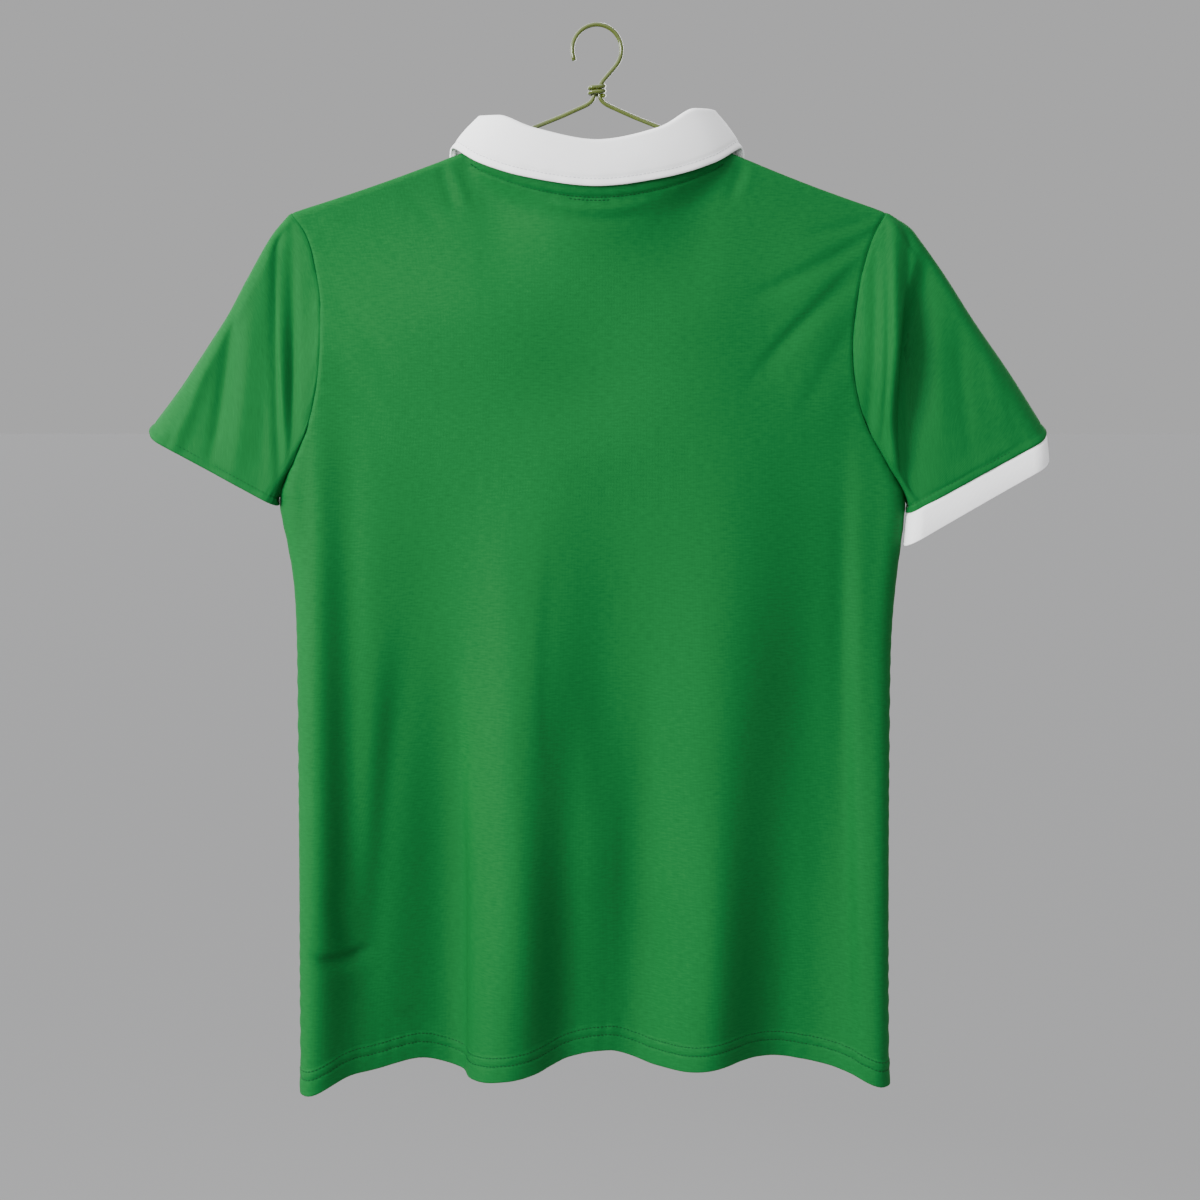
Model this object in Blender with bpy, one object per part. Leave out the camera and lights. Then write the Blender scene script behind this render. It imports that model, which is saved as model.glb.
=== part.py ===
"""A short-sleeved football jersey with a turned-down collar, hanging on a wire hanger.

Every piece of cloth is a thin wall on a smooth surface that is worked out from the sizes below.
Sizes are in millimetres and the meshes are made in metres. +Z is up, the garment's back faces -Y,
the wearer's right is +X, and the origin is the inside top of the hanger's hook, where a rail
carries it. LEFT and RIGHT are the sides at -X and +X.
"""

import math

import bmesh
import bpy
import numpy as np

MM = 0.001
LEFT, RIGHT = -1, 1
BACK, FRONT = -1, 1

# Cloth and seams
CLOTH = 1.5
SEAM = 0.3
SHOULDER_FOLD = 4.5

# Neck: half its width at the shoulder seams, heights, and how far its edges stand off the middle
NECK_HALF = 97.0
NECK_Z = -91.0
NECK_CB_Z = -116.0
NECK_V_Z = -214.0
NECK_DEPTH = {BACK: 24.0, FRONT: 20.0}
NECK_FALL = 34.0  # the neck's round shape is gone this far below its edge
NECK_BAND = {BACK: 6.0, FRONT: 13.0}  # how far below the neck edge the cloth's first rows lie

# Shoulder points, armpits, hem
SHOULDER_X = {LEFT: 233.0, RIGHT: 220.0}
SHOULDER_Z = {LEFT: -137.5, RIGHT: -137.0}
SHOULDER_SAG = 1.5
ARMHOLE_TURN_Z = -292.0
ARMPIT_Z = {LEFT: -354.0, RIGHT: -352.0}
HEM_Z = -809.0
HEM_CORNER_DROP = {LEFT: 17.0, RIGHT: 12.0}
HEM_CORNER_WIDTH = 24.0
SETTLE = 120.0  # how far below the shoulder seam the cloth reaches its full depth

# The body's half width at each height: the armhole seam down to the armpit, then the side seam
SIDE_COLUMNS = ("z", "left", "right")
SIDE_OUTLINE = (
    (-137.0, 233.0, 220.0),
    (-150.0, 223.5, 212.5),
    (-180.0, 214.5, 202.5),
    (-210.0, 211.0, 197.0),
    (-240.0, 211.5, 194.5),
    (-270.0, 214.5, 197.5),
    (-300.0, 222.0, 207.0),
    (-325.0, 232.0, 221.5),
    (-343.0, 239.5, 231.0),
    (-354.0, 242.5, 235.5),
    (-364.0, 241.5, 234.0),
    (-385.0, 238.5, 233.0),
    (-415.0, 235.5, 232.5),
    (-445.0, 234.5, 231.0),
    (-510.0, 233.8, 229.5),
    (-640.0, 234.0, 230.0),
    (-750.0, 235.0, 231.5),
    (-830.0, 236.0, 233.5),
)

# Half the body's depth at each height, at its sides and at its middle
DEPTH_COLUMNS = ("z", "side", "middle")
BODY_DEPTH = (
    (-90.0, 5.0, 24.0),
    (-150.0, 7.0, 23.5),
    (-200.0, 10.0, 22.0),
    (-260.0, 13.0, 20.5),
    (-320.0, 15.0, 19.0),
    (-400.0, 16.0, 18.0),
    (-520.0, 15.5, 16.5),
    (-660.0, 14.5, 15.0),
    (-830.0, 13.5, 13.5),
)

# Long hanging folds, a row each: x_top and x_hem, where the fold's line starts and ends across
# the body; z_top, the height it starts at; depth at the hem (minus is towards the back); spread
BODY_FOLDS = (
    (-222.0, -226.0, -340.0, -27.0, 36.0),
    (-132.0, -134.0, -390.0, 15.0, 38.0),
    (-28.0, -84.0, -370.0, -33.0, 40.0),
    (8.0, 6.0, -390.0, 20.0, 42.0),
    (108.0, 78.0, -390.0, -27.0, 38.0),
    (190.0, 146.0, -390.0, 16.0, 40.0),
    (232.0, 226.0, -380.0, -21.0, 34.0),
)
# Smaller folds of one panel alone, in the same columns
OWN_FOLDS = {
    BACK: (
        (-204.0, -198.0, -330.0, 3.5, 18.0),
        (-110.0, -112.0, -620.0, 3.5, 14.0),
        (-28.0, -36.0, -500.0, 2.0, 20.0),
        (200.0, 190.0, -420.0, 2.0, 20.0),
    ),
    FRONT: (
        (-118.0, -126.0, -420.0, 4.5, 26.0),
        (-36.0, -46.0, -460.0, -4.0, 24.0),
        (30.0, 44.0, -440.0, 4.0, 24.0),
        (112.0, 124.0, -470.0, -4.5, 26.0),
    ),
}

# Sleeves, a row a side: the outer tip and the inner end of the open end, and half its depth. Then
# the pleat beside the armhole: how far the strip inside its edge and the cloth outside it stand
# out, and the share of the sleeve's length that the step between them takes
SLEEVE_COLUMNS = (
    "tip_x", "tip_z", "under_x", "under_z", "under_y", "depth", "strip", "outer", "step",
)
SLEEVE = {
    LEFT: (345.0, -307.0, 252.0, -364.0, -5.0, 13.0, -5.0, 8.0, 0.06),
    RIGHT: (346.5, -308.0, 243.5, -366.0, -6.0, 13.0, 11.0, -5.0, 0.14),
}
# How far out the pleat's edge hangs, at each height of the armhole it starts from
PLEAT_COLUMNS = ("z", "left", "right")
PLEAT_LINE = (
    (-140.0, 231.0, 238.0),
    (-175.0, 232.0, 231.0),
    (-215.0, 232.0, 225.5),
    (-250.0, 232.5, 224.0),
    (-290.0, 234.0, 229.0),
    (-330.0, 242.0, 243.0),
)
PLEAT_LEAST = 0.04
PLEAT_FADE = 0.55
UNDERARM_GAP = 1.2
UNDERARM_BULGE = 3.5
UNDERARM_SKIP = 0.25
MITRE_LEAST = 0.5
MITRE_ALONG = 0.03
TIP_ROUND = 5.0
# How far the sleeve's upper edge stands out from a straight line to the tip
BOW_COLUMNS = ("along", "left", "right")
SLEEVE_BOW = (
    (0.0, 0.0, 0.0),
    (0.12, 2.6, 8.0),
    (0.3, 0.5, 7.5),
    (0.5, -2.5, 5.0),
    (0.75, -2.5, 3.5),
    (1.0, 0.0, 0.0),
)
CUFF_COLUMNS = ("tip_x", "tip_z", "under_x", "under_z", "under_y", "depth")
CUFF = (349.0, -328.0, 240.5, -391.0, -8.0, 13.5)

# Collar, a row for each station from the middle of the back to the point of the V: the way it
# faces, its place on the neck edge (1 at the shoulder seam, 2 at the V), its fold and its edge
COLLAR_COLUMNS = (
    "turn", "neck", "fold_x", "fold_y", "fold_z", "edge_x", "edge_y", "edge_z", "right_rise",
)
COLLAR_STATIONS = (
    (0.0, 0.0, 0.0, -24.0, -86.0, 0.0, -27.8, -119.0, 0.0),
    (22.0, 0.5, 45.0, -22.0, -77.5, 53.0, -24.4, -112.0, 0.5),
    (48.0, 0.84, 72.0, -13.0, -67.5, 88.0, -15.5, -101.0, 5.0),
    (90.0, 1.0, 85.0, 0.0, -67.5, 109.0, 1.5, -89.0, 4.0),
    (116.0, 1.09, 82.5, 8.5, -79.0, 112.0, 8.0, -103.0, 3.0),
    (140.0, 1.25, 72.0, 16.0, -104.0, 108.0, 13.0, -130.0, 1.0),
    (165.0, 1.55, 43.0, 23.0, -152.0, 84.0, 21.5, -185.0, 0.0),
    (180.0, 1.98, 4.0, 26.0, -206.0, 46.0, 23.5, -236.0, 0.0),
)
COLLAR_ROLL = 2.3
COLLAR_BELLY = 1.2
NECK_SEAM = 1.2

# Wire hanger
WIRE = 3.3
HOOK_INSIDE = 17.0
HANGER_NECK_Z = -53.0
WIRES_APART = 1.9  # each wire's centre from the middle, where they stand side by side
BAR_Z = -167.0
ARM_END_X = {LEFT: 222.0, RIGHT: 210.0}
END_BEND = 9.0
ARM_CLEAR = 1.0
ARM_SLOPE = 20.5

# How finely each piece is divided
ROWS_FOLD = (0.0, 0.34, 0.67, 1.0)
ROWS_ARMHOLE = (0.05, 0.14, 0.27, 0.42, 0.57, 0.72, 0.86, 1.0)
ROWS_TURN = (0.2, 0.4, 0.6, 0.8, 1.0)
ROWS_BELOW = (0.04, 0.1, 0.18, 0.28, 0.38, 0.48, 0.58, 0.68, 0.78, 0.88, 0.95, 1.0)
ACROSS_NECK = (0.0, 0.21, 0.42, 0.62, 0.79, 0.905, 0.97, 0.992, 1.0)
ACROSS_SHOULDER = (0.12, 0.25, 0.38, 0.5, 0.62, 0.73, 0.83, 0.875, 0.917, 0.958, 1.0)
ALONG_SLEEVE = (0.0, 0.06, 0.12, 0.17, 0.21, 0.25, 0.285, 0.32, 0.38, 0.47, 0.58, 0.7, 0.85, 1.0)
ALONG_CUFF = (0.0, 0.3, 0.7, 1.0)
COLLAR_STEPS = 43
WRAP_STEPS = 24
NECK_END_STEP = 0.006

COLOURS = {
    "green_cloth": ((0.020, 0.245, 0.050, 1.0), 0.62, 0.0),
    "white_cloth": ((0.86, 0.86, 0.85, 1.0), 0.70, 0.0),
    "olive_wire": ((0.175, 0.26, 0.025, 1.0), 0.35, 0.0),
}


def clear_scene():
    for thing in list(bpy.data.objects):
        bpy.data.objects.remove(thing, do_unlink=True)


def material(name):
    """A plain finish from the colour table, made once."""
    if name in bpy.data.materials:
        return bpy.data.materials[name]
    colour, roughness, metallic = COLOURS[name]
    made = bpy.data.materials.new(name)
    made.use_nodes = True
    shader = made.node_tree.nodes["Principled BSDF"]
    shader.inputs["Base Color"].default_value = colour
    shader.inputs["Roughness"].default_value = roughness
    shader.inputs["Metallic"].default_value = metallic
    return made


def column(table, names, wanted):
    return np.array([row[names.index(wanted)] for row in table], float)


def eased(at, places, values):
    """A smooth curve through a table's values, with no overshoot between two rows."""
    places, values = np.asarray(places, float), np.asarray(values, float)
    if places[0] > places[-1]:
        places, values = places[::-1], values[::-1]
    steps = np.diff(places)
    rises = np.diff(values) / steps
    slopes = np.empty(len(values))
    slopes[0], slopes[-1] = rises[0], rises[-1]
    same_way = rises[:-1] * rises[1:] > 0
    mean = (steps[1:] * rises[:-1] + steps[:-1] * rises[1:]) / (steps[1:] + steps[:-1])
    limit = 3 * np.minimum(np.abs(rises[:-1]), np.abs(rises[1:]))
    slopes[1:-1] = np.where(same_way, np.sign(mean) * np.minimum(np.abs(mean), limit), 0.0)
    at = np.clip(np.asarray(at, float), places[0], places[-1])
    cell = np.clip(np.searchsorted(places, at) - 1, 0, len(steps) - 1)
    t = (at - places[cell]) / steps[cell]
    into, out = slopes[cell] * steps[cell], slopes[cell + 1] * steps[cell]
    return (
        (2 * t**3 - 3 * t**2 + 1) * values[cell]
        + (t**3 - 2 * t**2 + t) * into
        + (3 * t**2 - 2 * t**3) * values[cell + 1]
        + (t**3 - t**2) * out
    )


def smoothstep(t):
    t = np.clip(t, 0.0, 1.0)
    return t * t * (3 - 2 * t)


def unit(v):
    return v / np.maximum(np.linalg.norm(v, axis=-1, keepdims=True), 1e-12)


def square_to(v, direction):
    """What is left of a vector once its part along a unit direction is taken away."""
    return v - direction * np.sum(v * direction, axis=-1, keepdims=True)


def half_width(z, side):
    name = "left" if side == LEFT else "right"
    places = column(SIDE_OUTLINE, SIDE_COLUMNS, "z")
    return eased(z, places, column(SIDE_OUTLINE, SIDE_COLUMNS, name))


def depth_at(z, name):
    places = column(BODY_DEPTH, DEPTH_COLUMNS, "z")
    return eased(z, places, column(BODY_DEPTH, DEPTH_COLUMNS, name))


def shoulder_z(x, side):
    """Height of the shoulder seam, from the neck out to the shoulder point."""
    t = (np.abs(x) - NECK_HALF) / (SHOULDER_X[side] - NECK_HALF)
    straight = NECK_Z + (SHOULDER_Z[side] - NECK_Z) * t
    return straight - SHOULDER_SAG * np.sin(math.pi * np.clip(t, 0.0, 1.0))


def neck_z(x, half):
    """Height of the neck edge: a scoop on the back, a V on the front."""
    t = np.clip(np.abs(x) / NECK_HALF, 0.0, 1.0)
    if half == BACK:
        return NECK_CB_Z + (NECK_Z - NECK_CB_Z) * t**2
    return NECK_V_Z + (NECK_Z - NECK_V_Z) * t


def neck_depth(x, half, drop=0.0):
    """How far the cloth stands off at and below the neck edge: rounder at the edge itself."""
    t = np.clip(np.abs(x) / NECK_HALF, 0.0, 1.0)
    edge, below = np.sqrt(1 - t**2), (1 - t**2) ** 2
    return NECK_DEPTH[half] * (edge + (below - edge) * smoothstep(drop / NECK_FALL))


def hem_z(x, side):
    edge = half_width(HEM_Z, side) - np.abs(x)
    return HEM_Z - HEM_CORNER_DROP[side] * np.exp(-((edge / HEM_CORNER_WIDTH) ** 2))


def folds(rows, x, z):
    """How far the hanging folds push the cloth along Y at a place."""
    push = np.zeros_like(x)
    for x_top, x_hem, z_top, depth, spread in rows:
        down = np.clip((z_top - z) / (z_top - HEM_Z), 0.0, 1.2)
        line = x_top + (x_hem - x_top) * down
        push += depth * smoothstep(down) ** 0.8 * np.exp(-(((x - line) / spread) ** 2))
    return push


def lowered(top, bottom, side, down, first):
    """Height of a row: first below the top, to the armhole's turn, the armpit and the bottom."""
    z = top - first
    z = z + (ARMHOLE_TURN_Z - z) * np.clip(down - 1, 0, 1)
    turned = np.sin(np.clip(down - 2, 0, 1) * math.pi / 2)
    z = z + (ARMPIT_Z[side] - ARMHOLE_TURN_Z) * turned
    return z + (bottom - ARMPIT_Z[side]) * np.clip(down - 3, 0, 1.1)


def body_side(across, down, side, half):
    """One side of the body's wall, from its middle out to the armhole or the side seam."""
    around = np.clip(down, -1.0, 1.0)
    fold = around * math.pi / 2
    rolled = SHOULDER_FOLD * (1 - np.cos(fold))
    edge_z = lowered(SHOULDER_Z[side], HEM_Z - HEM_CORNER_DROP[side], side, down, rolled)
    side_x = half_width(edge_z, side)
    radius = depth_at(edge_z, "side")
    end_angle = np.clip(down - 2, 0, 1) * math.pi / 2
    flat_x = side_x - radius * np.sin(end_angle)
    narrowing = np.abs(across) ** (2 * (1 - smoothstep(down - 1)))
    run = across * (SHOULDER_X[side] + (flat_x + radius * end_angle - SHOULDER_X[side]) * narrowing)
    angle = np.clip((run - flat_x) / radius, 0.0, 0.75 * math.pi)
    x = np.where(run < flat_x, run, flat_x + radius * np.sin(angle))

    top_x = across * SHOULDER_X[side]
    in_neck = top_x < NECK_HALF - 1e-6
    top = np.where(in_neck, neck_z(top_x, half), shoulder_z(top_x, side))
    widened = smoothstep((1 - top_x / NECK_HALF) / 0.12)
    band = SHOULDER_FOLD + (NECK_BAND[half] - SHOULDER_FOLD) * widened
    first = np.where(in_neck, band * around, rolled)
    z = lowered(top, hem_z(x, side), side, down, first)

    seam_depth = SHOULDER_FOLD * np.sin(fold)
    off_neck = np.hypot(neck_depth(top_x, half, top - z), seam_depth)
    top_depth = np.where(in_neck, off_neck, seam_depth)
    crown = np.cos(np.clip(x / side_x, -1, 1) * math.pi / 2) ** 2
    full = radius * np.cos(angle) + (depth_at(z, "middle") - depth_at(z, "side")) * crown
    settled = smoothstep((top - z) / SETTLE)
    y = half * (top_depth + (full - top_depth) * settled)
    x = x * side
    y = y + folds(BODY_FOLDS, x, z) + folds(OWN_FOLDS[half], x, z) * np.cos(angle) * settled
    return np.stack([x, y, z], axis=-1)


def body(across, down, half):
    """The middle of the body's wall.

    across runs from -1 to 1 between the side seams. down runs 0 to 1 round the shoulder fold,
    to 2 at the armhole's turn, to 3 at the armpit and to 4 at the hem.
    """
    across, down = np.broadcast_arrays(np.asarray(across, float), np.asarray(down, float))
    left = body_side(-across, down, LEFT, half)
    right = body_side(across, down, RIGHT, half)
    return np.where((across < 0)[..., None], left, right)


def round_armhole(ring):
    """ring runs 0 to 3 down the back of the armhole and to 6 up its front: half, and down."""
    ring = np.mod(ring, 6.0)
    half = np.where(ring <= 3, BACK, FRONT)
    return half, np.where(ring <= 3, ring, 6 - ring)


def ring_share(down):
    """How far round the half ring of a sleeve's end a row of the armhole comes, 0 to 1."""
    return eased(down, (0.0, 1.0, 2.0, 3.0), (0.0, 0.12, 0.86, 1.0))


def end_ring(ring, side, size):
    """A flattened ring with round ends, from its outer tip to the underarm and back."""
    half, down = round_armhole(ring)
    tip = np.array([size["tip_x"], size["tip_z"]])
    under = np.array([size["under_x"], size["under_z"]])
    length = np.linalg.norm(under - tip)
    line = (under - tip) / length
    outer = np.clip(down, 0, 1) * math.pi / 2
    inner = np.clip(3 - down, 0, 1) * math.pi / 2
    middle = smoothstep(np.clip(down - 1, 0, 1)) * 0.35 + np.clip(down - 1, 0, 1) * 0.65
    straight = (length - 2 * size["depth"]) * middle
    run = size["depth"] * (1 - np.cos(outer)) + straight + size["depth"] * np.cos(inner)
    y = half * size["depth"] * np.minimum(np.sin(outer), np.sin(inner))
    y = y + size["under_y"] * (run / length) ** 2
    x = tip[0] + line[0] * run
    z = tip[1] + line[1] * run + TIP_ROUND * (1 - np.sin(outer)) ** 2
    return np.stack([side * x, y, z], axis=-1)


def pleat_share(ring, root, side, size):
    """How far along the sleeve its pleat's edge lies, for a start on the armhole seam."""
    name = "left" if side == LEFT else "right"
    places = column(PLEAT_LINE, PLEAT_COLUMNS, "z")
    edge_x = eased(root[..., 2], places, column(PLEAT_LINE, PLEAT_COLUMNS, name))
    root_x = side * root[..., 0]
    end_x = side * end_ring(ring, side, size)[..., 0]
    return np.maximum((edge_x - root_x) / (end_x - root_x), PLEAT_LEAST)


def sleeve(ring, along, side):
    """The middle of a sleeve's wall: ring goes round it, along runs from the armhole to its end."""
    ring, along = np.broadcast_arrays(np.asarray(ring, float), np.asarray(along, float))
    size = dict(zip(SLEEVE_COLUMNS, SLEEVE[side]))
    half, down = round_armhole(ring)
    edge = np.full_like(down, float(side))
    root = np.where((half == BACK)[..., None], body(edge, down, BACK), body(edge, down, FRONT))
    t = along[..., None]
    point = root * (1 - t) + end_ring(ring, side, size) * t
    share = ring_share(down)
    bow_name = "left" if side == LEFT else "right"
    places = column(SLEEVE_BOW, BOW_COLUMNS, "along")
    bow = eased(along, places, column(SLEEVE_BOW, BOW_COLUMNS, bow_name))
    bow = bow * np.clip(1 - share / 0.5, 0, 1) ** 2
    bulge = UNDERARM_BULGE * np.sin(math.pi * along) * smoothstep(down - 2)
    point[..., 0] += side * (bow * 0.83 + bulge)
    point[..., 2] += bow * 0.56
    lean = np.sin(math.pi * np.clip(share / 0.9, 0, 1)) ** 2
    pleat_at = pleat_share(ring, root, side, size)
    before = np.clip(along / pleat_at, 0, 1)
    after = smoothstep((along - pleat_at) / size["step"])
    fade = np.clip(1 - (along - pleat_at) / PLEAT_FADE, 0, 1) ** 1.5
    strip = size["strip"] * np.sin(before * math.pi / 2) * (1 - after)
    outer = size["outer"] * after * fade
    point[..., 1] += half * lean * (strip + outer)
    return point


def cuff(ring, along):
    """The middle of the cuff's wall, from the right sleeve's end to the cuff's own edge."""
    top = end_ring(ring, RIGHT, dict(zip(SLEEVE_COLUMNS, SLEEVE[RIGHT])))
    edge = end_ring(ring, RIGHT, dict(zip(CUFF_COLUMNS, CUFF)))
    t = np.asarray(along, float)[..., None]
    return top * (1 - t) + edge * t


def normals_of(surface, first, second, step=1e-3):
    """Unit normals of a surface at a grid of its two parameters."""
    along_first = surface(first + step, second) - surface(first - step, second)
    along_second = surface(first, second + step) - surface(first, second - step)
    return unit(np.cross(along_first, along_second))


def add_object(name, mesh_data, finish):
    mesh = bpy.data.meshes.new(name)
    mesh_data.to_mesh(mesh)
    mesh_data.free()
    mesh.materials.append(material(finish))
    mesh.shade_smooth()
    mesh.set_sharp_from_angle(angle=math.radians(50))
    made = bpy.data.objects.new(name, mesh)
    bpy.context.scene.collection.objects.link(made)
    return made


def wall(name, finish, middle, normal, closed_ring=False):
    """A closed wall from a grid of middle points and normals, its rims square to the cloth."""
    rows, columns = middle.shape[:2]
    made = bmesh.new()
    sides = []
    for way in (0.5, -0.5):
        points = (middle + normal * CLOTH * way) * MM
        sides.append([[made.verts.new(p) for p in row] for row in points.tolist()])
    outer, inner = sides
    for row in range(rows if closed_ring else rows - 1):
        after = (row + 1) % rows
        for col in range(columns - 1):
            falling = np.linalg.norm(middle[row, col] - middle[after, col + 1])
            rising = np.linalg.norm(middle[after, col] - middle[row, col + 1])
            for skin in sides:
                corners = [skin[row][col], skin[after][col], skin[after][col + 1], skin[row][col + 1]]
                if rising < falling:
                    corners = corners[1:] + corners[:1]
                made.faces.new((corners[0], corners[1], corners[2]))
                made.faces.new((corners[0], corners[2], corners[3]))
        for col in (0, columns - 1):
            made.faces.new((outer[row][col], inner[row][col], inner[after][col], outer[after][col]))
    if not closed_ring:
        for row in (0, rows - 1):
            for col in range(columns - 1):
                after = col + 1
                made.faces.new((outer[row][col], outer[row][after], inner[row][after], inner[row][col]))
    bmesh.ops.recalc_face_normals(made, faces=made.faces)
    bmesh.ops.triangulate(made, faces=made.faces)
    return add_object(name, made, finish)


def armhole_rows():
    """Rows round the shoulder fold, down the armhole and round its turn to the armpit."""
    return list(ROWS_FOLD) + [1 + t for t in ROWS_ARMHOLE] + [2 + t for t in ROWS_TURN]


def across_columns():
    """Columns of the body: one runs down from each end of the neck edge."""
    sides = []
    for side in (LEFT, RIGHT):
        neck = NECK_HALF / SHOULDER_X[side]
        within = [neck * t for t in ACROSS_NECK]
        beyond = [neck + (1 - neck) * t for t in ACROSS_SHOULDER]
        sides.append([side * a for a in within + beyond])
    return np.array(sides[0][::-1] + sides[1][1:])


def armhole_ring():
    rows = armhole_rows()
    return np.array(rows + [6 - row for row in rows[-2:0:-1]])


def armhole_mitre(side):
    """Round the armhole seam, the way both rims stand, halfway between body and sleeve."""
    ring = armhole_ring()
    half, down = round_armhole(ring)
    edge = np.full_like(down, float(side))
    back = normals_of(lambda a, d: body(a, d, BACK), edge, down) * BACK
    front = normals_of(lambda a, d: body(a, d, FRONT), edge, down) * FRONT
    facing = np.where((half == BACK)[:, None], back, front)
    along = np.full_like(ring, MITRE_ALONG)
    sewn_on = normals_of(lambda r, t: sleeve(r, t, side), ring, along) * side
    between = unit(facing + sewn_on)
    stretch = np.maximum(np.sum(between * facing, axis=-1), MITRE_LEAST)
    return between / stretch[:, None]


def body_panel(name, half):
    across = across_columns()
    rows = armhole_rows()
    down = np.array(rows + [3 + t for t in ROWS_BELOW])
    down[0] = SEAM / 2 / (SHOULDER_FOLD * math.pi / 2)
    across[0] += SEAM / 2 / SHOULDER_X[LEFT]
    across[-1] -= SEAM / 2 / SHOULDER_X[RIGHT]
    faced = across.copy()
    for side in (LEFT, RIGHT):
        neck_end = side * NECK_HALF / SHOULDER_X[side]
        faced[np.argmin(np.abs(across - neck_end))] += side * NECK_END_STEP

    def surface(a, d):
        return body(a, d, half)

    middle = surface(*np.meshgrid(across, down))
    normal = normals_of(surface, *np.meshgrid(faced, down)) * half
    for side, column_at in ((LEFT, 0), (RIGHT, -1)):
        mitre = armhole_mitre(side)
        for row in range(len(rows)):
            normal[row, column_at] = mitre[(-half * row) % len(mitre)]
    wall(name, "green_cloth", middle, normal)


def tube(surface, side, along, gap, skip):
    """Points and outward normals of a tube of cloth, begun a gap past its first ring.

    skip is the share of the tube's length between its first two rings, over what along gives.
    """
    rings = armhole_ring()
    _, down = round_armhole(rings)
    ends = surface(rings, np.ones_like(rings)) - surface(rings, np.zeros_like(rings))
    start = (gap(down) / np.linalg.norm(ends, axis=-1))[:, None]
    skipped = start + skip(down)[:, None]
    grid_ring, grid_along = np.meshgrid(rings, np.array(along), indexing="ij")
    grid_along = np.where(grid_along > 0, skipped + (1 - skipped) * grid_along, start)
    return surface(grid_ring, grid_along), normals_of(surface, grid_ring, grid_along) * side


def sleeve_tube(side):
    """A sleeve, sewn to the armhole: its first ring faces the way the body's edge does."""
    middle, normal = tube(
        lambda ring, along: sleeve(ring, along, side),
        side,
        ALONG_SLEEVE,
        lambda down: SEAM / 2 + UNDERARM_GAP * smoothstep(down - 2),
        lambda down: UNDERARM_SKIP * smoothstep(down - 2),
    )
    normal[:, 0] = armhole_mitre(side)
    return middle, normal


def sleeves_and_cuff():
    wall("sleeve_left", "green_cloth", *sleeve_tube(LEFT), closed_ring=True)
    middle, normal = sleeve_tube(RIGHT)
    band, band_normal = tube(cuff, RIGHT, ALONG_CUFF, lambda down: SEAM / 2 + 0 * down, np.zeros_like)
    shared = unit(normal[:, -1] + band_normal[:, 0])
    normal[:, -1] = shared
    band_normal[:, 0] = shared
    middle[:, -1] -= unit(middle[:, -1] - middle[:, -2]) * SEAM / 2
    wall("sleeve_right", "green_cloth", middle, normal, closed_ring=True)
    wall("cuff_right", "white_cloth", band, band_normal, closed_ring=True)


def neck_seam(share, side):
    """A point of the neck edge: share is 0 at the back's middle, 1 at the shoulder, 2 at the V."""
    behind = share <= 1
    x = NECK_HALF * np.where(behind, share, 2 - share)
    z = np.where(behind, neck_z(x, BACK), neck_z(x, FRONT))
    y = np.where(behind, -neck_depth(x, BACK), neck_depth(x, FRONT))
    return np.stack([side * x, y, z], axis=-1)


def collar_stations():
    """The collar's seam, fold, edge and outward direction at even steps round the neck."""
    places, rows = [], []
    for side in (LEFT, RIGHT):
        for number, values in enumerate(COLLAR_STATIONS):
            if number == 0 and side == RIGHT:
                continue
            row = dict(zip(COLLAR_COLUMNS, values))
            rise = row["right_rise"] if side == RIGHT else 0.0
            places.append(side * number)
            rows.append((
                side * row["turn"], side * row["neck"],
                side * row["fold_x"], row["fold_y"], row["fold_z"] + rise,
                side * row["edge_x"], row["edge_y"], row["edge_z"],
            ))
    order = np.argsort(places)
    places = np.array(places, float)[order]
    rows = np.array(rows)[order]
    at = np.linspace(places[0], places[-1], COLLAR_STEPS)
    values = [eased(at, places, rows[:, index]) for index in range(rows.shape[1])]
    turn, neck = np.radians(values[0]), values[1]
    seam = np.where((neck < 0)[:, None], neck_seam(-neck, LEFT), neck_seam(neck, RIGHT))
    fold = np.stack(values[2:5], axis=-1)
    edge = np.stack(values[5:8], axis=-1)
    outward = np.stack([np.sin(turn), -np.cos(turn), np.zeros_like(turn)], axis=-1)
    return seam, fold, edge, outward


def collar():
    """One piece: it stands up from the neck edge, rolls over and falls outside the neck."""
    seam, fold, edge, outward = collar_stations()
    running = unit(np.gradient(fold, axis=0))
    up = unit(square_to(fold - seam, running))
    outward = unit(square_to(square_to(outward, running), up))
    start = seam + up * NECK_SEAM
    bend = fold - up * COLLAR_ROLL
    lines = [start + (bend - start) * t for t in (0.0, 0.35, 0.7, 1.0)]
    centre = bend + outward * COLLAR_ROLL
    for angle in np.radians((45.0, 90.0, 135.0, 180.0)):
        lines.append(centre + (up * math.sin(angle) - outward * math.cos(angle)) * COLLAR_ROLL)
    leaf_top = lines[-1]
    for t in (0.2, 0.45, 0.72, 1.0):
        belly = outward * COLLAR_BELLY * math.sin(math.pi * t)
        lines.append(leaf_top * (1 - t) + edge * t + belly)
    middle = np.stack(lines, axis=1)
    normal = unit(np.cross(np.gradient(middle, axis=0), np.gradient(middle, axis=1)))
    wall("collar", "white_cloth", middle, normal)


def arc(centre_x, centre_z, radius, start, end, steps):
    angles = np.radians(np.linspace(start, end, steps))
    return [(centre_x + radius * math.cos(a), centre_z + radius * math.sin(a)) for a in angles]


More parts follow.
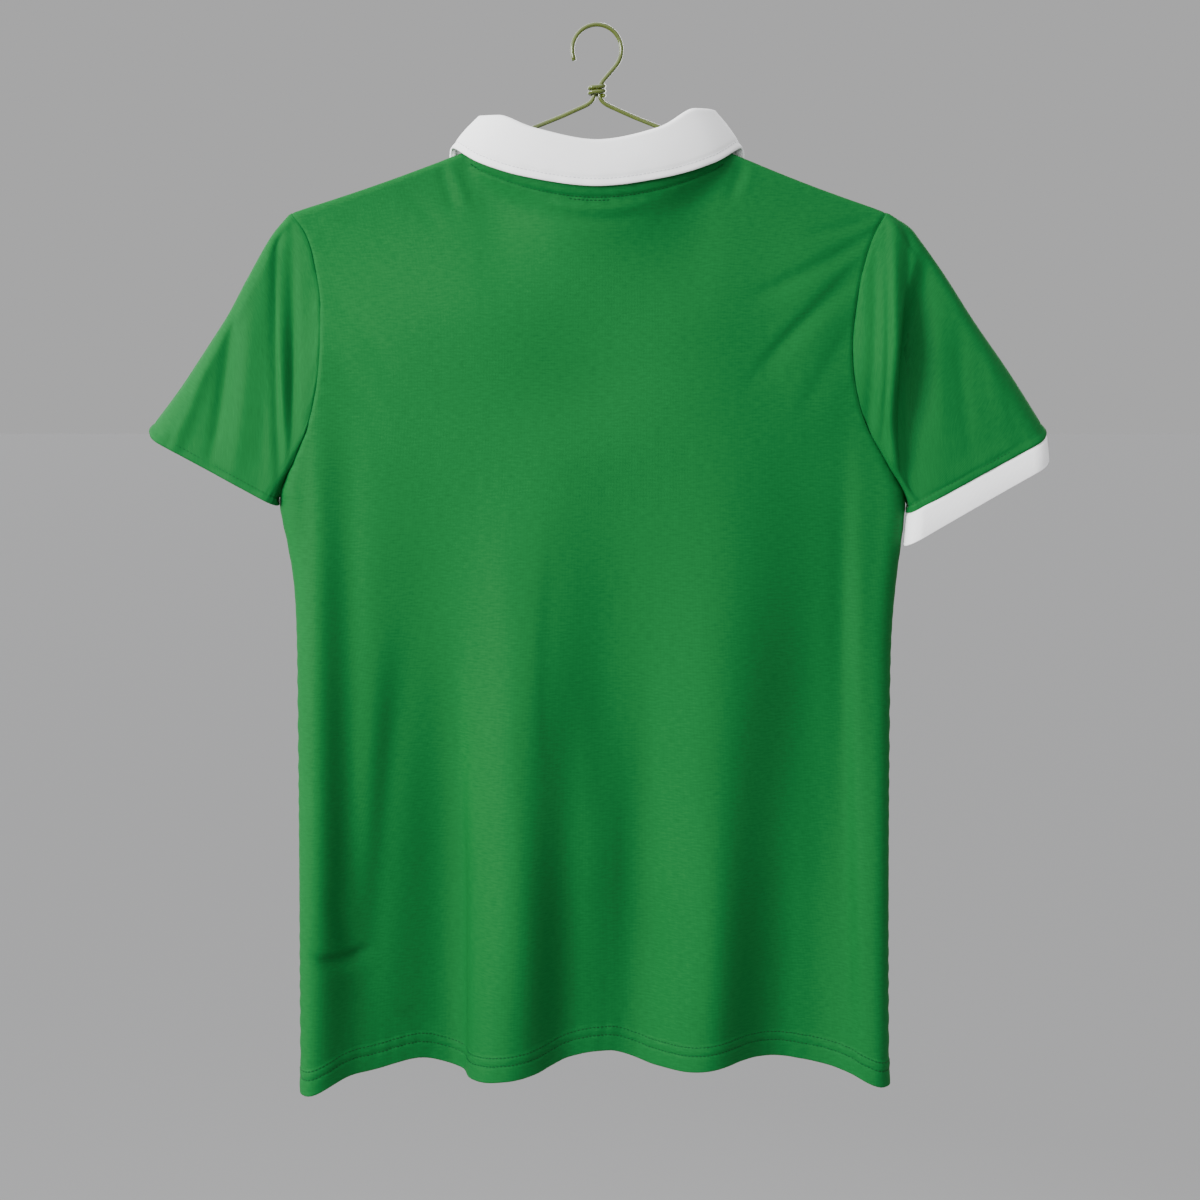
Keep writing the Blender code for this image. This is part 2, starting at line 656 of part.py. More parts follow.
def hanger_arm(side):
    """An arm from the neck out to its end, just under the cloth of the shoulder, then its bend."""
    points = [
        (WIRES_APART, HANGER_NECK_Z + 9.0),
        (WIRES_APART, HANGER_NECK_Z + 1.5),
        (WIRES_APART + 1.3, HANGER_NECK_Z - 1.5),
        (7.0, HANGER_NECK_Z - 4.2),
        (27.0, -66.0),
        (50.0, -75.0),
    ]
    under = CLOTH / 2 + SEAM + WIRE / 2 + ARM_CLEAR
    bend_x = ARM_END_X[side] - END_BEND
    for share in (0.04, 0.25, 0.5, 0.75, 1.0):
        x = NECK_HALF + (bend_x - NECK_HALF) * share
        points.append((x, float(shoulder_z(x, side)) - under))
    slope = math.radians(ARM_SLOPE)
    radius = (points[-1][1] - BAR_Z) / (1 + math.cos(slope))
    centre_x, centre_z = bend_x - radius * math.sin(slope), BAR_Z + radius
    points += arc(centre_x, centre_z, radius, 90.0 - ARM_SLOPE, -90.0, 9)[1:]
    return [(side * x, z) for x, z in points]


def hook():
    """The hook from its free end over the top, and down to the hanger's neck."""
    points = arc(0.0, -HOOK_INSIDE, HOOK_INSIDE + WIRE / 2, 205.0, -35.0, 19)
    return points + [(4.2, -40.2), (2.4, -42.8)]


def hanger():
    right, left = hanger_arm(RIGHT), hanger_arm(LEFT)
    points = hook() + right + left[::-1]
    curve = bpy.data.curves.new("hanger", "CURVE")
    curve.dimensions = "3D"
    curve.bevel_depth = WIRE / 2 * MM
    curve.bevel_resolution = 2
    curve.use_fill_caps = True
    line = curve.splines.new("POLY")
    line.points.add(len(points) - 1)
    for place, (x, z) in zip(line.points, points):
        place.co = (x * MM, 0.0, z * MM, 1.0)
    line.use_smooth = True
    curve.materials.append(material("olive_wire"))
    made = bpy.data.objects.new("hanger", curve)
    bpy.context.scene.collection.objects.link(made)


def hanger_wrap():
    """The two windings that hold the wires together at the neck, as one ring with an oval hole."""
    hole = WIRE / 2 + SEAM
    base = HANGER_NECK_Z + 1.6
    turns = ((0.0, 0.0), (0.7, 0.0), (1.0, 0.5), (0.72, 1.0), (1.0, 1.5), (0.7, 2.0), (0.0, 2.0))
    made = bmesh.new()
    loops = []
    for step in range(WRAP_STEPS):
        angle = 2 * math.pi * step / WRAP_STEPS
        shift = WIRES_APART * max(-1.0, min(1.0, 3 * math.cos(angle)))
        loop = []
        for out, up in turns:
            reach = hole + out * WIRE
            place = (shift + math.cos(angle) * reach, math.sin(angle) * reach, base + up * WIRE)
            loop.append(made.verts.new([size * MM for size in place]))
        loops.append(loop)
    for step, loop in enumerate(loops):
        after = loops[(step + 1) % WRAP_STEPS]
        for index in range(len(turns)):
            other = (index + 1) % len(turns)
            made.faces.new((loop[index], loop[other], after[other], after[index]))
    bmesh.ops.recalc_face_normals(made, faces=made.faces)
    add_object("hanger_wrap", made, "olive_wire")


def main():
    clear_scene()
    body_panel("back_panel", BACK)
    body_panel("front_panel", FRONT)
    sleeves_and_cuff()
    collar()
    hanger()
    hanger_wrap()


main()
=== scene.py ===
"""A short-sleeved football jersey with a white turned-down collar, hanging on a wire hanger.

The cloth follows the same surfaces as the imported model's walls, divided more finely, with its
creases, hems, seams and stitching added. Sizes are in millimetres and meshes are made in metres.
+Z is up, the garment's back faces -Y, and the wearer's right is +X. LEFT and RIGHT are the sides
at -X and +X.
"""

import math

import bmesh
import bpy
import numpy as np
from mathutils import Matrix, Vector


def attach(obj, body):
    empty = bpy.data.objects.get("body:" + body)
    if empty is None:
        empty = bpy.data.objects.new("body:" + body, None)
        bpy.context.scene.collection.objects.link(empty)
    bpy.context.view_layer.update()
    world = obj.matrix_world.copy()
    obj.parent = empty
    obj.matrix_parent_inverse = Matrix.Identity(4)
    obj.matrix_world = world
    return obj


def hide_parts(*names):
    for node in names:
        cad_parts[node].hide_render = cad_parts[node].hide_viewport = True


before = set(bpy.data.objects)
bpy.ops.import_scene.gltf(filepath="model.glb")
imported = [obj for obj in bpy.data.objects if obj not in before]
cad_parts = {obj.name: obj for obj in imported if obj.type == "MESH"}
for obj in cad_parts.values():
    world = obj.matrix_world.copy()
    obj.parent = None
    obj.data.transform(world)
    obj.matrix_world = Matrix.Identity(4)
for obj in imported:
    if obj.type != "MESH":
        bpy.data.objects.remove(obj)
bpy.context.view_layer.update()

MM = 0.001
LEFT, RIGHT = -1, 1
SIDE_NAME = {LEFT: "left", RIGHT: "right"}
BACK, FRONT = -1, 1

# ---------------------------------------------------------------- the jersey's own sizes

KNIT = 0.95  # one layer of the green cloth
HEM_KNIT = 1.7  # turned up and sewn
COLLAR_KNIT = 1.5
CUFF_KNIT = 1.6
SEAM = 0.3  # the gap between two pieces
SHOULDER_FOLD = 4.5  # radius of the fold over the shoulder seam

NECK_HALF = 97  # from the middle out to the neck's corner
NECK_Z = -91  # at that corner
NECK_CB_Z = -116  # at the centre of the back
NECK_V_Z = -214  # at the point of the V
NECK_DEPTH = {BACK: 24, FRONT: 20}
NECK_FALL = 34  # how far below the neck edge its roundness lasts
NECK_BAND = {BACK: 6, FRONT: 13}  # how deep the first rows below the edge are
NECK_BAND_EASE = 0.12

SHOULDER_X = {LEFT: 233, RIGHT: 220}
SHOULDER_Z = {LEFT: -137.5, RIGHT: -137}
SHOULDER_SAG = 1.5
ARMHOLE_TURN_Z = -292
ARMPIT_Z = {LEFT: -354, RIGHT: -352}
HEM_Z = -809
HEM_CORNER_DROP = {LEFT: 17, RIGHT: 12}
HEM_CORNER_WIDTH = 24
# How much higher the hem hangs than HEM_Z, at each place across the body
HEM_WAVE_COLUMNS = ("x", "rise")
HEM_WAVE = (
    (-236, 0),
    (-205, -4),
    (-188, -4),
    (-145, 1.5),
    (-103, -8.5),
    (-70, -4.5),
    (-45, 0),
    (-4, 9.5),
    (10, 9.5),
    (48, 0.5),
    (66, 0.5),
    (115, 5.5),
    (140, 4.5),
    (205, -1.5),
    (236, 0),
)
# The cloth takes SETTLE to fall from the neck and shoulders into its hanging shape. At the
# neck's corner it starts as if the corner were rounded, CORNER_EASE out on either side
SETTLE = 120
CORNER_EASE = 32
CORNER_SLOPE = 0.43

# How far out the shoulder, the armhole and then the side seam run
SIDE_COLUMNS = ("z", "left", "right")
SIDE_OUTLINE = (
    (-137, 233, 220),
    (-150, 223.5, 212.5),
    (-180, 214.5, 202.5),
    (-210, 211, 197),
    (-240, 211.5, 194.5),
    (-270, 214.5, 197.5),
    (-300, 222, 207),
    (-325, 233, 222.5),
    (-343, 242, 234),
    (-354, 245.8, 239),
    (-364, 245.4, 238.8),
    (-385, 241.4, 237),
    (-415, 236.5, 233.6),
    (-445, 234.5, 231),
    (-510, 233.8, 229.5),
    (-640, 234, 230),
    (-750, 235, 231.5),
    (-830, 236, 233.5),
)

# How far each panel stands off the middle, beside its seams and in the middle
DEPTH_COLUMNS = ("z", "side", "middle")
BODY_DEPTH = (
    (-90, 5, 24),
    (-150, 7, 23.5),
    (-200, 10, 22),
    (-260, 13, 20.5),
    (-320, 15, 19),
    (-400, 16, 18),
    (-520, 15.5, 16.5),
    (-660, 14.5, 15),
    (-830, 13.5, 13.5),
)

# Long hanging folds, a row each: x_top and x_hem, where the fold's line starts and ends across
# the body; z_top, the height it starts at; depth at the hem (minus is towards the back); spread
BODY_FOLDS = (
    (-222, -226, -340, -27, 36),
    (-134, -124, -250, 15, 38),
    (-30, -81, -270, -27, 40),
    (12, 8, -290, 17, 42),
    (112, 82, -275, -21, 38),
    (188, 148, -280, 14, 38),
    (232, 226, -380, -21, 34),
)
FOLD_POWER = 0.8
SIDE_ROUND = 0.75 * math.pi  # how far the cloth wraps round at a side
# Folds of one panel alone, in the same columns
OWN_FOLDS = {
    BACK: (
        (-204, -198, -330, 3.5, 18),
        (-110, -112, -620, 3.5, 14),
        (-28, -36, -500, 2, 20),
        (200, 190, -420, 2, 20),
    ),
    FRONT: (
        (-118, -126, -420, 4.5, 26),
        (-36, -46, -460, -4, 24),
        (30, 44, -440, 4, 24),
        (112, 124, -470, -4.5, 26),
    ),
}

SLEEVE_COLUMNS = (
    "tip_x", "tip_z", "under_x", "under_z", "under_y", "depth", "strip", "outer", "step",
)
SLEEVE = {
    LEFT: (345, -307, 247, -360, -5, 13, -4, 7, 0.13),
    RIGHT: (346.5, -308, 240.2, -366, -6, 13, 13, -8, 0.09),
}
# How far out the pleat's edge hangs, at each height of the armhole it starts from
PLEAT_COLUMNS = ("z", "left", "right")
PLEAT_LINE = (
    (-140, 231, 238),
    (-175, 232, 231),
    (-215, 232, 224.5),
    (-250, 232.5, 222.5),
    (-290, 234, 227.5),
    (-330, 242, 243),
)
PLEAT_LEAST = 0.04
PLEAT_FADE = 0.55
# The pleat stands out most on the sleeve's middle and dies out at LEAN_REACH of the half ring
LEAN_REACH = 0.9
LEAN_POWER = 1.2
RING_SHARES = (0, 0.12, 0.86, 1)  # where the half ring's four stations come on a sleeve's end
RING_STEP = 60  # about how much of the armhole lies between two stations
EVEN_SPREAD = 0.65
UNDERARM_GAP = 1.2
UNDERARM_BULGE = 1.5
TIP_ROUND = 5
# Shares of the half ring that stay free of creases
TIP_UNCREASED = 0.10
UNDERARM_UNCREASED = 0.14
# How far the sleeve's outer edge bows, and which way
BOW_OUT, BOW_UP = 0.83, 0.56
BOW_COLUMNS = ("along", "left", "right")
SLEEVE_BOW = (
    (0, 0, 0),
    (0.12, 2.6, 8),
    (0.3, 0.5, 7.5),
    (0.5, -2.5, 5),
    (0.75, -2.5, 3.5),
    (1, 0, 0),
)
CUFF_COLUMNS = ("tip_x", "tip_z", "under_x", "under_z", "under_y", "depth")
CUFF = (349, -328, 238.5, -391, -8, 13.5)
CUFF_WIDTH = 24
CUFF_SWELL = 0.9
CUFF_WAVE = 0.3

# Stations from the back's middle round to the V's point. turn is the way the collar faces in
# degrees, neck is its place on the neck edge, fold and edge are its top and its outer edge
COLLAR_COLUMNS = (
    "turn", "neck", "fold_x", "fold_y", "fold_z", "edge_x", "edge_y", "edge_z", "right_rise",
)
COLLAR_STATIONS = (
    (0, 0, 0, -24, -86, 0, -27.8, -119, 0),
    (22, 0.5, 45, -22, -77.5, 53, -24.4, -112, 0.5),
    (48, 0.84, 72, -13, -67.5, 88, -15.5, -101, 5),
    (90, 1, 85, 0, -67.5, 109, 1.5, -89, 4),
    (116, 1.09, 82.5, 8.5, -79, 112, 8, -103, 3),
    (140, 1.25, 72, 16, -104, 108, 13, -130, 1),
    (165, 1.55, 43, 23, -152, 84, 21.5, -185, 0),
    (180, 1.98, 4, 26, -206, 46, 23.5, -236, 0),
)
COLLAR_ROLL = 2.3  # radius of the fold
COLLAR_BELLY = 1.2  # how far the leaf arches out
NECK_SEAM = 1.2  # how far above the neck edge the collar starts

# Sewing
HEM_TURN = 21  # how far the hem is turned up
HEM_LINES = (13, 20)  # the twin lines of stitching, above the hem's edge
SLEEVE_HEM = 5
NECK_LINE = 11  # the line of stitching below the neck edge
COLLAR_LINE = 5  # the line above the collar's outer edge
STITCH_PITCH = 3.1
STITCH_LONG = 2.5
STITCH_WIDE = 0.62
STITCH_DIP = 0.22  # how far its ends sink into the cloth
STITCH_END = 0.45  # how thin its ends are drawn
STITCH_PROUD = 0.05
COLLAR_STITCH_PROUD = 0.02
HEM_REACH = {LEFT: 235, RIGHT: 231}
HEM_STITCHED = 0.992  # the share of the way out to the side seams that the hem's stitches reach
# The short second line at the neck
LABEL_LINE = 13.6
LABEL_X = -6
LABEL_HALF = 16
SEAM_ROLL = 0.8
SEAM_ROLL_WIDTH = 1.7
GROOVE_WIDTH = 1.3
# A turned edge stands proud by its step, ends over its ease, and its stitches pull a groove
HEM_STEP, HEM_EASE, HEM_GROOVE = 0.38, 1.6, 0.45
NECK_STEP, NECK_EASE, NECK_GROOVE = 0.35, 1.5, 0.7
SLEEVE_STEP, SLEEVE_EASE, SLEEVE_GROOVE = 0.30, 1.4, 0.6
COLLAR_GROOVE, COLLAR_GROOVE_WIDTH = 0.6, 1.4
# Small waves that sewing draws up: their height, their wavelength along the seam, and how far
# off it they lie and reach
PUCKER_COLUMNS = ("height", "wavelength", "off", "width")
PUCKERS = {
    "hem_lines": (0.34, 12.5, 16.5, 7.5),
    "hem_edge": (0.30, 17, 4, 6),
    "neck_line": (0.30, 13, 2, 5),
    "armhole": (0.30, 15, 3.5, 4),
    "sleeve_top": (0.34, 15, 3.5, 4),
    "sleeve_end": (0.26, 11, 0, 6),
    "collar_edge": (0.25, 21, 0, 9),
}
PANEL_SEED = {BACK: 1, FRONT: 4}  # so that the two panels pucker differently

# ---------------------------------------------------------------- creases, placed one by one

# A row for each: x0, z0 and x1, z1, where its line starts and ends; bow, how far it bows; its
# height (minus is a trough); and its width on its left and right. A line drawn downwards has -X
# on its left
CREASE_FADE = 0.35  # the share of its length that a crease takes to die out at either end
CREASES = {
    BACK: (
        # drawn from the shoulder blades out to the right armhole
        (230, -141, 100, -208, 3, -1.7, 4, 8),
        (224, -154, 104, -278, -4, -1.8, 4, 9),
        (214, -174, 122, -250, -1, -0.7, 4, 7),
        (207, -206, 150, -304, -4, -1, 6, 10),
        (214, -140, 150, -156, 2, -0.8, 4, 4),
        # out of the left armhole
        (-222, -148, -152, -182, -4, -0.7, 5, 5),
        (-205, -139, -140, -170, 3, -0.6, 4, 4),
        (-214, -190, -150, -262, 4, -0.7, 8, 7),
        (-214, -232, -158, -318, 5, -0.6, 9, 7),
        # the back's cloth eased out beside the neck
        (76, -122, 88, -620, 0, 7, 90, 66),
        (160, -126, 168, -330, 0, 3.4, 30, 30),
        (-4, -104, 2, -330, 0, -6, 58, 58),
        # at the neck
        (111, -96, 97, -134, 1, -1.3, 3.5, 4),
        (119, -98, 108, -130, 1, 0.6, 4, 4),
        (-112, -94, -95, -138, -1, 1.2, 4, 3),
        (-120, -97, -104, -144, -1, -0.9, 4, 3.5),
        (-152, -116, -114, -156, 1, -0.7, 4, 5),
        (-58, -119, 62, -119, -10, -1.4, 4, 3),
        (-50, -127, 54, -127, -9, 0.9, 4, 4),
        (-42, -136, 46, -136, -8, -0.8, 4, 4),
        # the left side's rim and its two hanging folds
        (-214, -170, -217, -900, 1, 3.4, 9, 13),
        (-188, -250, -191, -800, -3, -2.8, 15, 12),
        (-168, -420, -192, -740, 3, 1.6, 11, 11),
        (-144, -430, -186, -810, -5, -2.6, 13, 12),
        # the sharp edge beside the brightest fold, and that fold's broad crest
        (-109, -440, -117, -1080, 0, -9.5, 24, 8),
        (-76, -330, -78, -640, 5, 1.4, 18, 14),
        (-52, -560, -57, -1100, 0, 5, 18, 22),
        (-6, -460, -12, -980, 0, 6, 16, 24),
        (99, -560, 93, -1100, 0, 3.6, 16, 22),
        (-29, -362, -34, -600, -7, -1.3, 7, 16),
        # the shallow middles between the folds
        (9, -500, 14, -940, 0, 7, 30, 18),
        (162, -500, 158, -900, 0, 4.5, 28, 18),
        (36, -430, 44, -840, 3, -1.8, 14, 11),
        # down the right side
        (202, -260, 216, -880, -3, 2.2, 5, 9),
        (189, -260, 205, -880, -3, -2.6, 10, 5),
        # short ones low on the left
        (-230, -708, -174, -708, -9, -3.2, 9, 3.5),
        (-214, -650, -190, -730, 2, -1, 7, 8),
        (-160, -764, -130, -790, 2, -0.9, 5, 6),
    ),
    FRONT: (
        (214, -150, 140, -206, 3, -1.2, 7, 9),
        (206, -186, 118, -270, -4, -1.4, 8, 9),
        (200, -226, 128, -318, -4, 1, 8, 9),
        (-222, -152, -146, -202, -3, -1.1, 8, 7),
        (-214, -192, -126, -282, 4, -1.4, 9, 8),
        (-216, -240, -142, -338, 5, 1.1, 9, 9),
        (-70, -150, -30, -238, 3, -0.9, 8, 8),
        (72, -156, 34, -246, -3, -0.9, 8, 8),
        (-222, -340, -212, -650, 4, 2, 8, 7),
        (-196, -346, -200, -620, -4, -2.2, 10, 9),
        (-134, -352, -160, -700, -4, 1.6, 14, 12),
        (-98, -400, -106, -812, 5, -1.7, 12, 10),
        (-10, -430, -22, -812, -8, 1.6, 12, 14),
        (66, -380, 48, -800, 6, -1.8, 13, 11),
        (128, -360, 122, -780, 5, 1.7, 12, 14),
        (186, -350, 178, -700, -5, -1.9, 11, 10),
        (214, -380, 206, -660, 2, 1.6, 9, 8),
    ),
}
SLEEVE_CREASES = {
    LEFT: (
        (-238, -60, -242, -380, -5, -3.4, 4.2, 5),
        (-226, -130, -225, -340, 0, 1.8, 4, 9),
        (-246, -160, -262, -364, 3, -1.2, 6, 7),
        (-262, -180, -284, -366, 3, 2.4, 8, 9),
        (-275, -180, -302, -350, 3, -2.2, 5, 5),
        (-290, -220, -334, -336, 2, 2, 5, 6),
        (-302, -250, -322, -300, 1, -0.9, 4, 4),
    ),
    RIGHT: (
        (211, -140, 205, -340, 2, -2.8, 5, 5),
        (221, -140, 216, -340, 2, -1.5, 2.5, 3),
        (227, -60, 232, -440, -4, 2.6, 4, 4),
        (239, -60, 245, -440, -4, -4, 5, 14),
        (262, -190, 268, -330, -3, 1.5, 7, 8),
        (276, -206, 290, -334, -3, -1.2, 5, 6),
        (296, -232, 318, -312, -2, 1, 6, 6),
        (262, -344, 326, -306, -3, 0.8, 6, 7),
    ),
}

# ---------------------------------------------------------------- hanger

WIRE = 3.3
HOOK_INSIDE = 17  # radius of the hook's inside
HOOK_TURN = (205, -35)  # from its free end to its root, in degrees
HOOK_ROOT = ((4.2, -40.2), (2.4, -42.8))
HANGER_NECK_Z = -53
WIRES_APART = 1.9  # from the middle to either wire under the winding
# Where an arm leaves the winding, as x and as height from the hanger's neck
ARM_ROOT = (
    (WIRES_APART, 9),
    (WIRES_APART, 1.5),
    (WIRES_APART + 1.3, -1.5),
    (7, -4.2),
    (27, -13),
    (50, -22),
)
ARM_SHARES = (0.04, 0.25, 0.5, 0.75, 1)  # and where it follows the shoulder
BAR_Z = -167
ARM_END_X = {LEFT: 222, RIGHT: 210}
END_BEND = 9
ARM_CLEAR = 1
ARM_SLOPE = 20.5
PANEL_KNIT = 1.5  # the wall the arms keep clear of
WINDING_TURN = (-40, 760)
WINDING_REACH = WIRE + SEAM
WINDING_START = 2.6
WINDING_PITCH = WIRE + 0.15
WINDING_WIRE = WIRE * 0.94
WINDING_STEP = 15  # degrees between two points of the winding
ROUTE_STEP = 4  # distance between two points of the bent wire

# ---------------------------------------------------------------- how finely it is divided

# Distances in from an edge at which a row or column lies, to shape its stitching and its rim
NEAR_SIDE = (0.35, 0.9, 1.6, 2.4, 3.6, 5, 7)
NEAR_HEM = (
    0, 0.8, 2, 3.6, 5.5, 7.5, 9.5, 11.2, 12.2, 13, 13.8, 14.8, 16.5,
    18.2, 19.2, 20, 20.8, 21.8, 23, 24.5,
)
NEAR_ARMHOLE = (0, 0.6, 1.2, 2, 3, 4.2, 5.6, 7.2)
NEAR_SLEEVE_END = (0, 0.8, 2, 3.4, 4.4, 5, 5.6, 6.6, 8, 10)
UNDERARM = 110  # length of a sleeve's shortest row
# Between those, evenly spaced ones: across a panel, and along a sleeve with where they start
# and end. Rows lie close together for NECK_FINE below the shoulder fold, which is about
# NECK_TO_TURN above the armhole's turn, and the even ones end HEM_FINE above the hem
ACROSS_COLUMNS = 79
SLEEVE_EVEN = (0.085, 0.88, 60)
NECK_FINE, NECK_TO_TURN, HEM_FINE = 14, 170, 27
COLLAR_COUNT = 240
STAND_ROWS, ROLL_ROWS, LEAF_ROWS = 9, 10, 22
FOLD_ROW = 12  # the collar's row just inside the top of its fold
# How many points each line of stitching is laid along
HEM_POINTS, NECK_POINTS, SLEEVE_POINTS = 700, 300, 900
COLLAR_UNSTITCHED = 4  # steps round the collar at either end
COLLAR_NEAR_EDGE = 14  # rows among which the collar's stitched line lies
RIM_ROUND = 0.32  # how far a rim stands out, of the cloth's thickness

# ---------------------------------------------------------------- colours and finishes

GREEN_DEEP = (0.0051, 0.0865, 0.0178, 1.0)
GREEN_LIGHT = (0.0090, 0.128, 0.0284, 1.0)
# The thread's own green, darkened as painted shade along the stitched grooves
GREEN_THREAD_SHADED = (0.0028, 0.036, 0.009, 1.0)
WHITE = (0.97, 0.97, 0.97, 1.0)
WHITE_SHADE = (0.90, 0.905, 0.91, 1.0)
# The thread's own white, darkened as painted shade along the stitched grooves
WHITE_THREAD_SHADED = (0.55, 0.56, 0.57, 1.0)
OLIVE = (0.078, 0.108, 0.006, 1.0)
OLIVE_DARK = (0.045, 0.064, 0.004, 1.0)
FLOOR = (0.216, 0.216, 0.216, 1.0)

# wale and course are a loop's width and height in millimetres. The tones are how far each
# pattern lightens the yarn, from the tone that it starts at. The loops' tone is painted shade:
# it lightens the raised tops of the loops and darkens the dips between them
GREEN_LOOK = dict(
    wale=1.15, course=0.9, loop_shade=0.4, streak_tone=1.3, cloud_tone=0.35, grain_tone=0.25,
    tone=-0.65, roughness=0.6, relief=0.35, relief_depth=0.18, sheen=0.03,
    sheen_tint=(0.1, 1.0, 0.2, 1.0), specular=0.05,
)
WHITE_LOOK = dict(
    wale=1.0, course=1.3, loop_shade=0.4, streak_tone=0.3, cloud_tone=0.3, grain_tone=0.3,
    tone=0.0, roughness=0.72, relief=0.4, relief_depth=0.2, sheen=0.12,
    sheen_tint=(1.0, 1.0, 1.0, 1.0), specular=0.3,
)
LOOP_LEAN = 1.3  # how much later a loop's outer legs rise than its middle
LOOP_DIP = 0.45  # how deep the dips between two courses are, of a rib's height
YARN_DRAWN = (0.16, 0.75, 1.0)  # uneven yarn shows as streaks along the courses

# ---------------------------------------------------------------- room, lights and camera

ROOM_BRIGHT = (2.69, 2.70, 2.74, 1.0)
ROOM_DIM = (0.68, 0.68, 0.69, 1.0)
ROOM_WALL = (0.46, 0.46, 0.463, 1.0)
BRIGHT_FROM = (-0.94, 0.0, 0.34)
ROOM_RAMP = 0.55  # how far either way the room takes to turn from dim to bright
FLOOR_Z = -1900.0
FLOOR_SIZE = 60.0  # in metres, past all that the camera sees
# A row for each: name, place, what it points at, power, width
SOFTBOXES = (
    ("key", (-1500.0, -1150.0, 120.0), (-150.0, 0.0, -480.0), 57.0, 700.0),
    ("front_fill", (650.0, 1750.0, 150.0), (0.0, 0.0, -450.0), 26.0, 1200.0),
)
CAMERA_PLACE = (2.3478, -1485.40, -226.20)
CAMERA_TILT = 82.0  # degrees up from looking straight down
CAMERA_LENS = 57.5
CAMERA_SENSOR = 36.0


# ================================================================ numbers along tables


def column(table, names, wanted):
    return np.array([row[names.index(wanted)] for row in table], float)


def read_off(table, names, wanted, at):
    """A named column of a table, as a smooth curve over the table's first column."""
    return eased(at, column(table, names, names[0]), column(table, names, wanted))


def eased(at, places, values):
    """A smooth curve through a row of values, with no overshoot between two of them."""
    places, values = np.asarray(places, float), np.asarray(values, float)
    if places[0] > places[-1]:
        places, values = places[::-1], values[::-1]
    steps = np.diff(places)
    rises = np.diff(values) / steps
    slopes = np.empty(len(values))
    slopes[0], slopes[-1] = rises[0], rises[-1]
    same_way = rises[:-1] * rises[1:] > 0
    mean = (steps[1:] * rises[:-1] + steps[:-1] * rises[1:]) / (steps[1:] + steps[:-1])
    limit = 3 * np.minimum(np.abs(rises[:-1]), np.abs(rises[1:]))
    slopes[1:-1] = np.where(same_way, np.sign(mean) * np.minimum(np.abs(mean), limit), 0.0)
    at = np.clip(np.asarray(at, float), places[0], places[-1])
    cell = np.clip(np.searchsorted(places, at) - 1, 0, len(steps) - 1)
    t = (at - places[cell]) / steps[cell]
    into, out = slopes[cell] * steps[cell], slopes[cell + 1] * steps[cell]
    return (
        (2 * t**3 - 3 * t**2 + 1) * values[cell]
        + (t**3 - 2 * t**2 + t) * into
        + (3 * t**2 - 2 * t**3) * values[cell + 1]
        + (t**3 - t**2) * out
    )


def smoothstep(t):
    t = np.clip(t, 0.0, 1.0)
    return t * t * (3 - 2 * t)


def bump(distance, width):
    return np.exp(-((distance / width) ** 2))


def quarter_turn(share):
    """The angle at a share, kept within 0 and 1, of a quarter turn."""
    return np.clip(share, 0, 1) * math.pi / 2


def unit(v):
    return v / np.maximum(np.linalg.norm(v, axis=-1, keepdims=True), 1e-12)


def square_to(v, direction):
    """What is left of a vector once its part along a unit direction is taken away."""
    return v - direction * np.sum(v * direction, axis=-1, keepdims=True)


def same_shape(first, second):
    return np.broadcast_arrays(np.asarray(first, float), np.asarray(second, float))


def normals_of(surface, first, second, step=1e-3):
    """Unit normals of a surface at a grid of its two parameters."""
    along_first = surface(first + step, second) - surface(first - step, second)
    along_second = surface(first, second + step) - surface(first, second - step)
    return unit(np.cross(along_first, along_second))


def creases(rows, x, z):
    """Height of soft ridges and troughs, each along its own slightly bowed line."""
    height = np.zeros_like(x)
    for x0, z0, x1, z1, bow, tall, left, right in rows:
        length = math.hypot(x1 - x0, z1 - z0)
        run_x, run_z = (x1 - x0) / length, (z1 - z0) / length
        share = np.clip(((x - x0) * run_x + (z - z0) * run_z) / length, 0.0, 1.0)
        off = (z - z0) * run_x - (x - x0) * run_z - bow * 4 * share * (1 - share)
        width = np.where(off < 0, left, right)
        ends = smoothstep(share / CREASE_FADE) * smoothstep((1 - share) / CREASE_FADE)
        height += tall * ends * bump(off, width)
    return height


def ripple(run, wavelength, seed):
    """An uneven wave along a seam, between -1 and 1: its pitch drifts and its height swells."""
    turns = run / wavelength
    drift = 1.7 * np.sin(turns * 0.71 + seed * 2.3)
    swell = 0.62 + 0.38 * np.sin(turns * 0.43 + seed * 1.1)
    return swell * np.sin(turns * 2 * math.pi + drift + seed)


def puckers(name, run, off, seed):
    """Height of the puckers beside a seam, at a run along it and a distance off it."""
    pucker = dict(zip(PUCKER_COLUMNS, PUCKERS[name]))
    wave = ripple(run, pucker["wavelength"], seed)
    return pucker["height"] * wave * bump(off - pucker["off"], pucker["width"])


# ================================================================ the body


def half_width(z, side):
    return read_off(SIDE_OUTLINE, SIDE_COLUMNS, SIDE_NAME[side], z)


def depth_at(z, name):
    return read_off(BODY_DEPTH, DEPTH_COLUMNS, name, z)


def shoulder_z(x, side):
    """Height of the shoulder seam, from the neck out to the shoulder point."""
    t = (np.abs(x) - NECK_HALF) / (SHOULDER_X[side] - NECK_HALF)
    straight = NECK_Z + (SHOULDER_Z[side] - NECK_Z) * t
    return straight - SHOULDER_SAG * np.sin(math.pi * np.clip(t, 0.0, 1.0))


def neck_z(x, half):
    """Height of the neck edge: a scoop on the back, a V on the front."""
    t = np.clip(np.abs(x) / NECK_HALF, 0.0, 1.0)
    if half == BACK:
        return NECK_CB_Z + (NECK_Z - NECK_CB_Z) * t**2
    return NECK_V_Z + (NECK_Z - NECK_V_Z) * t


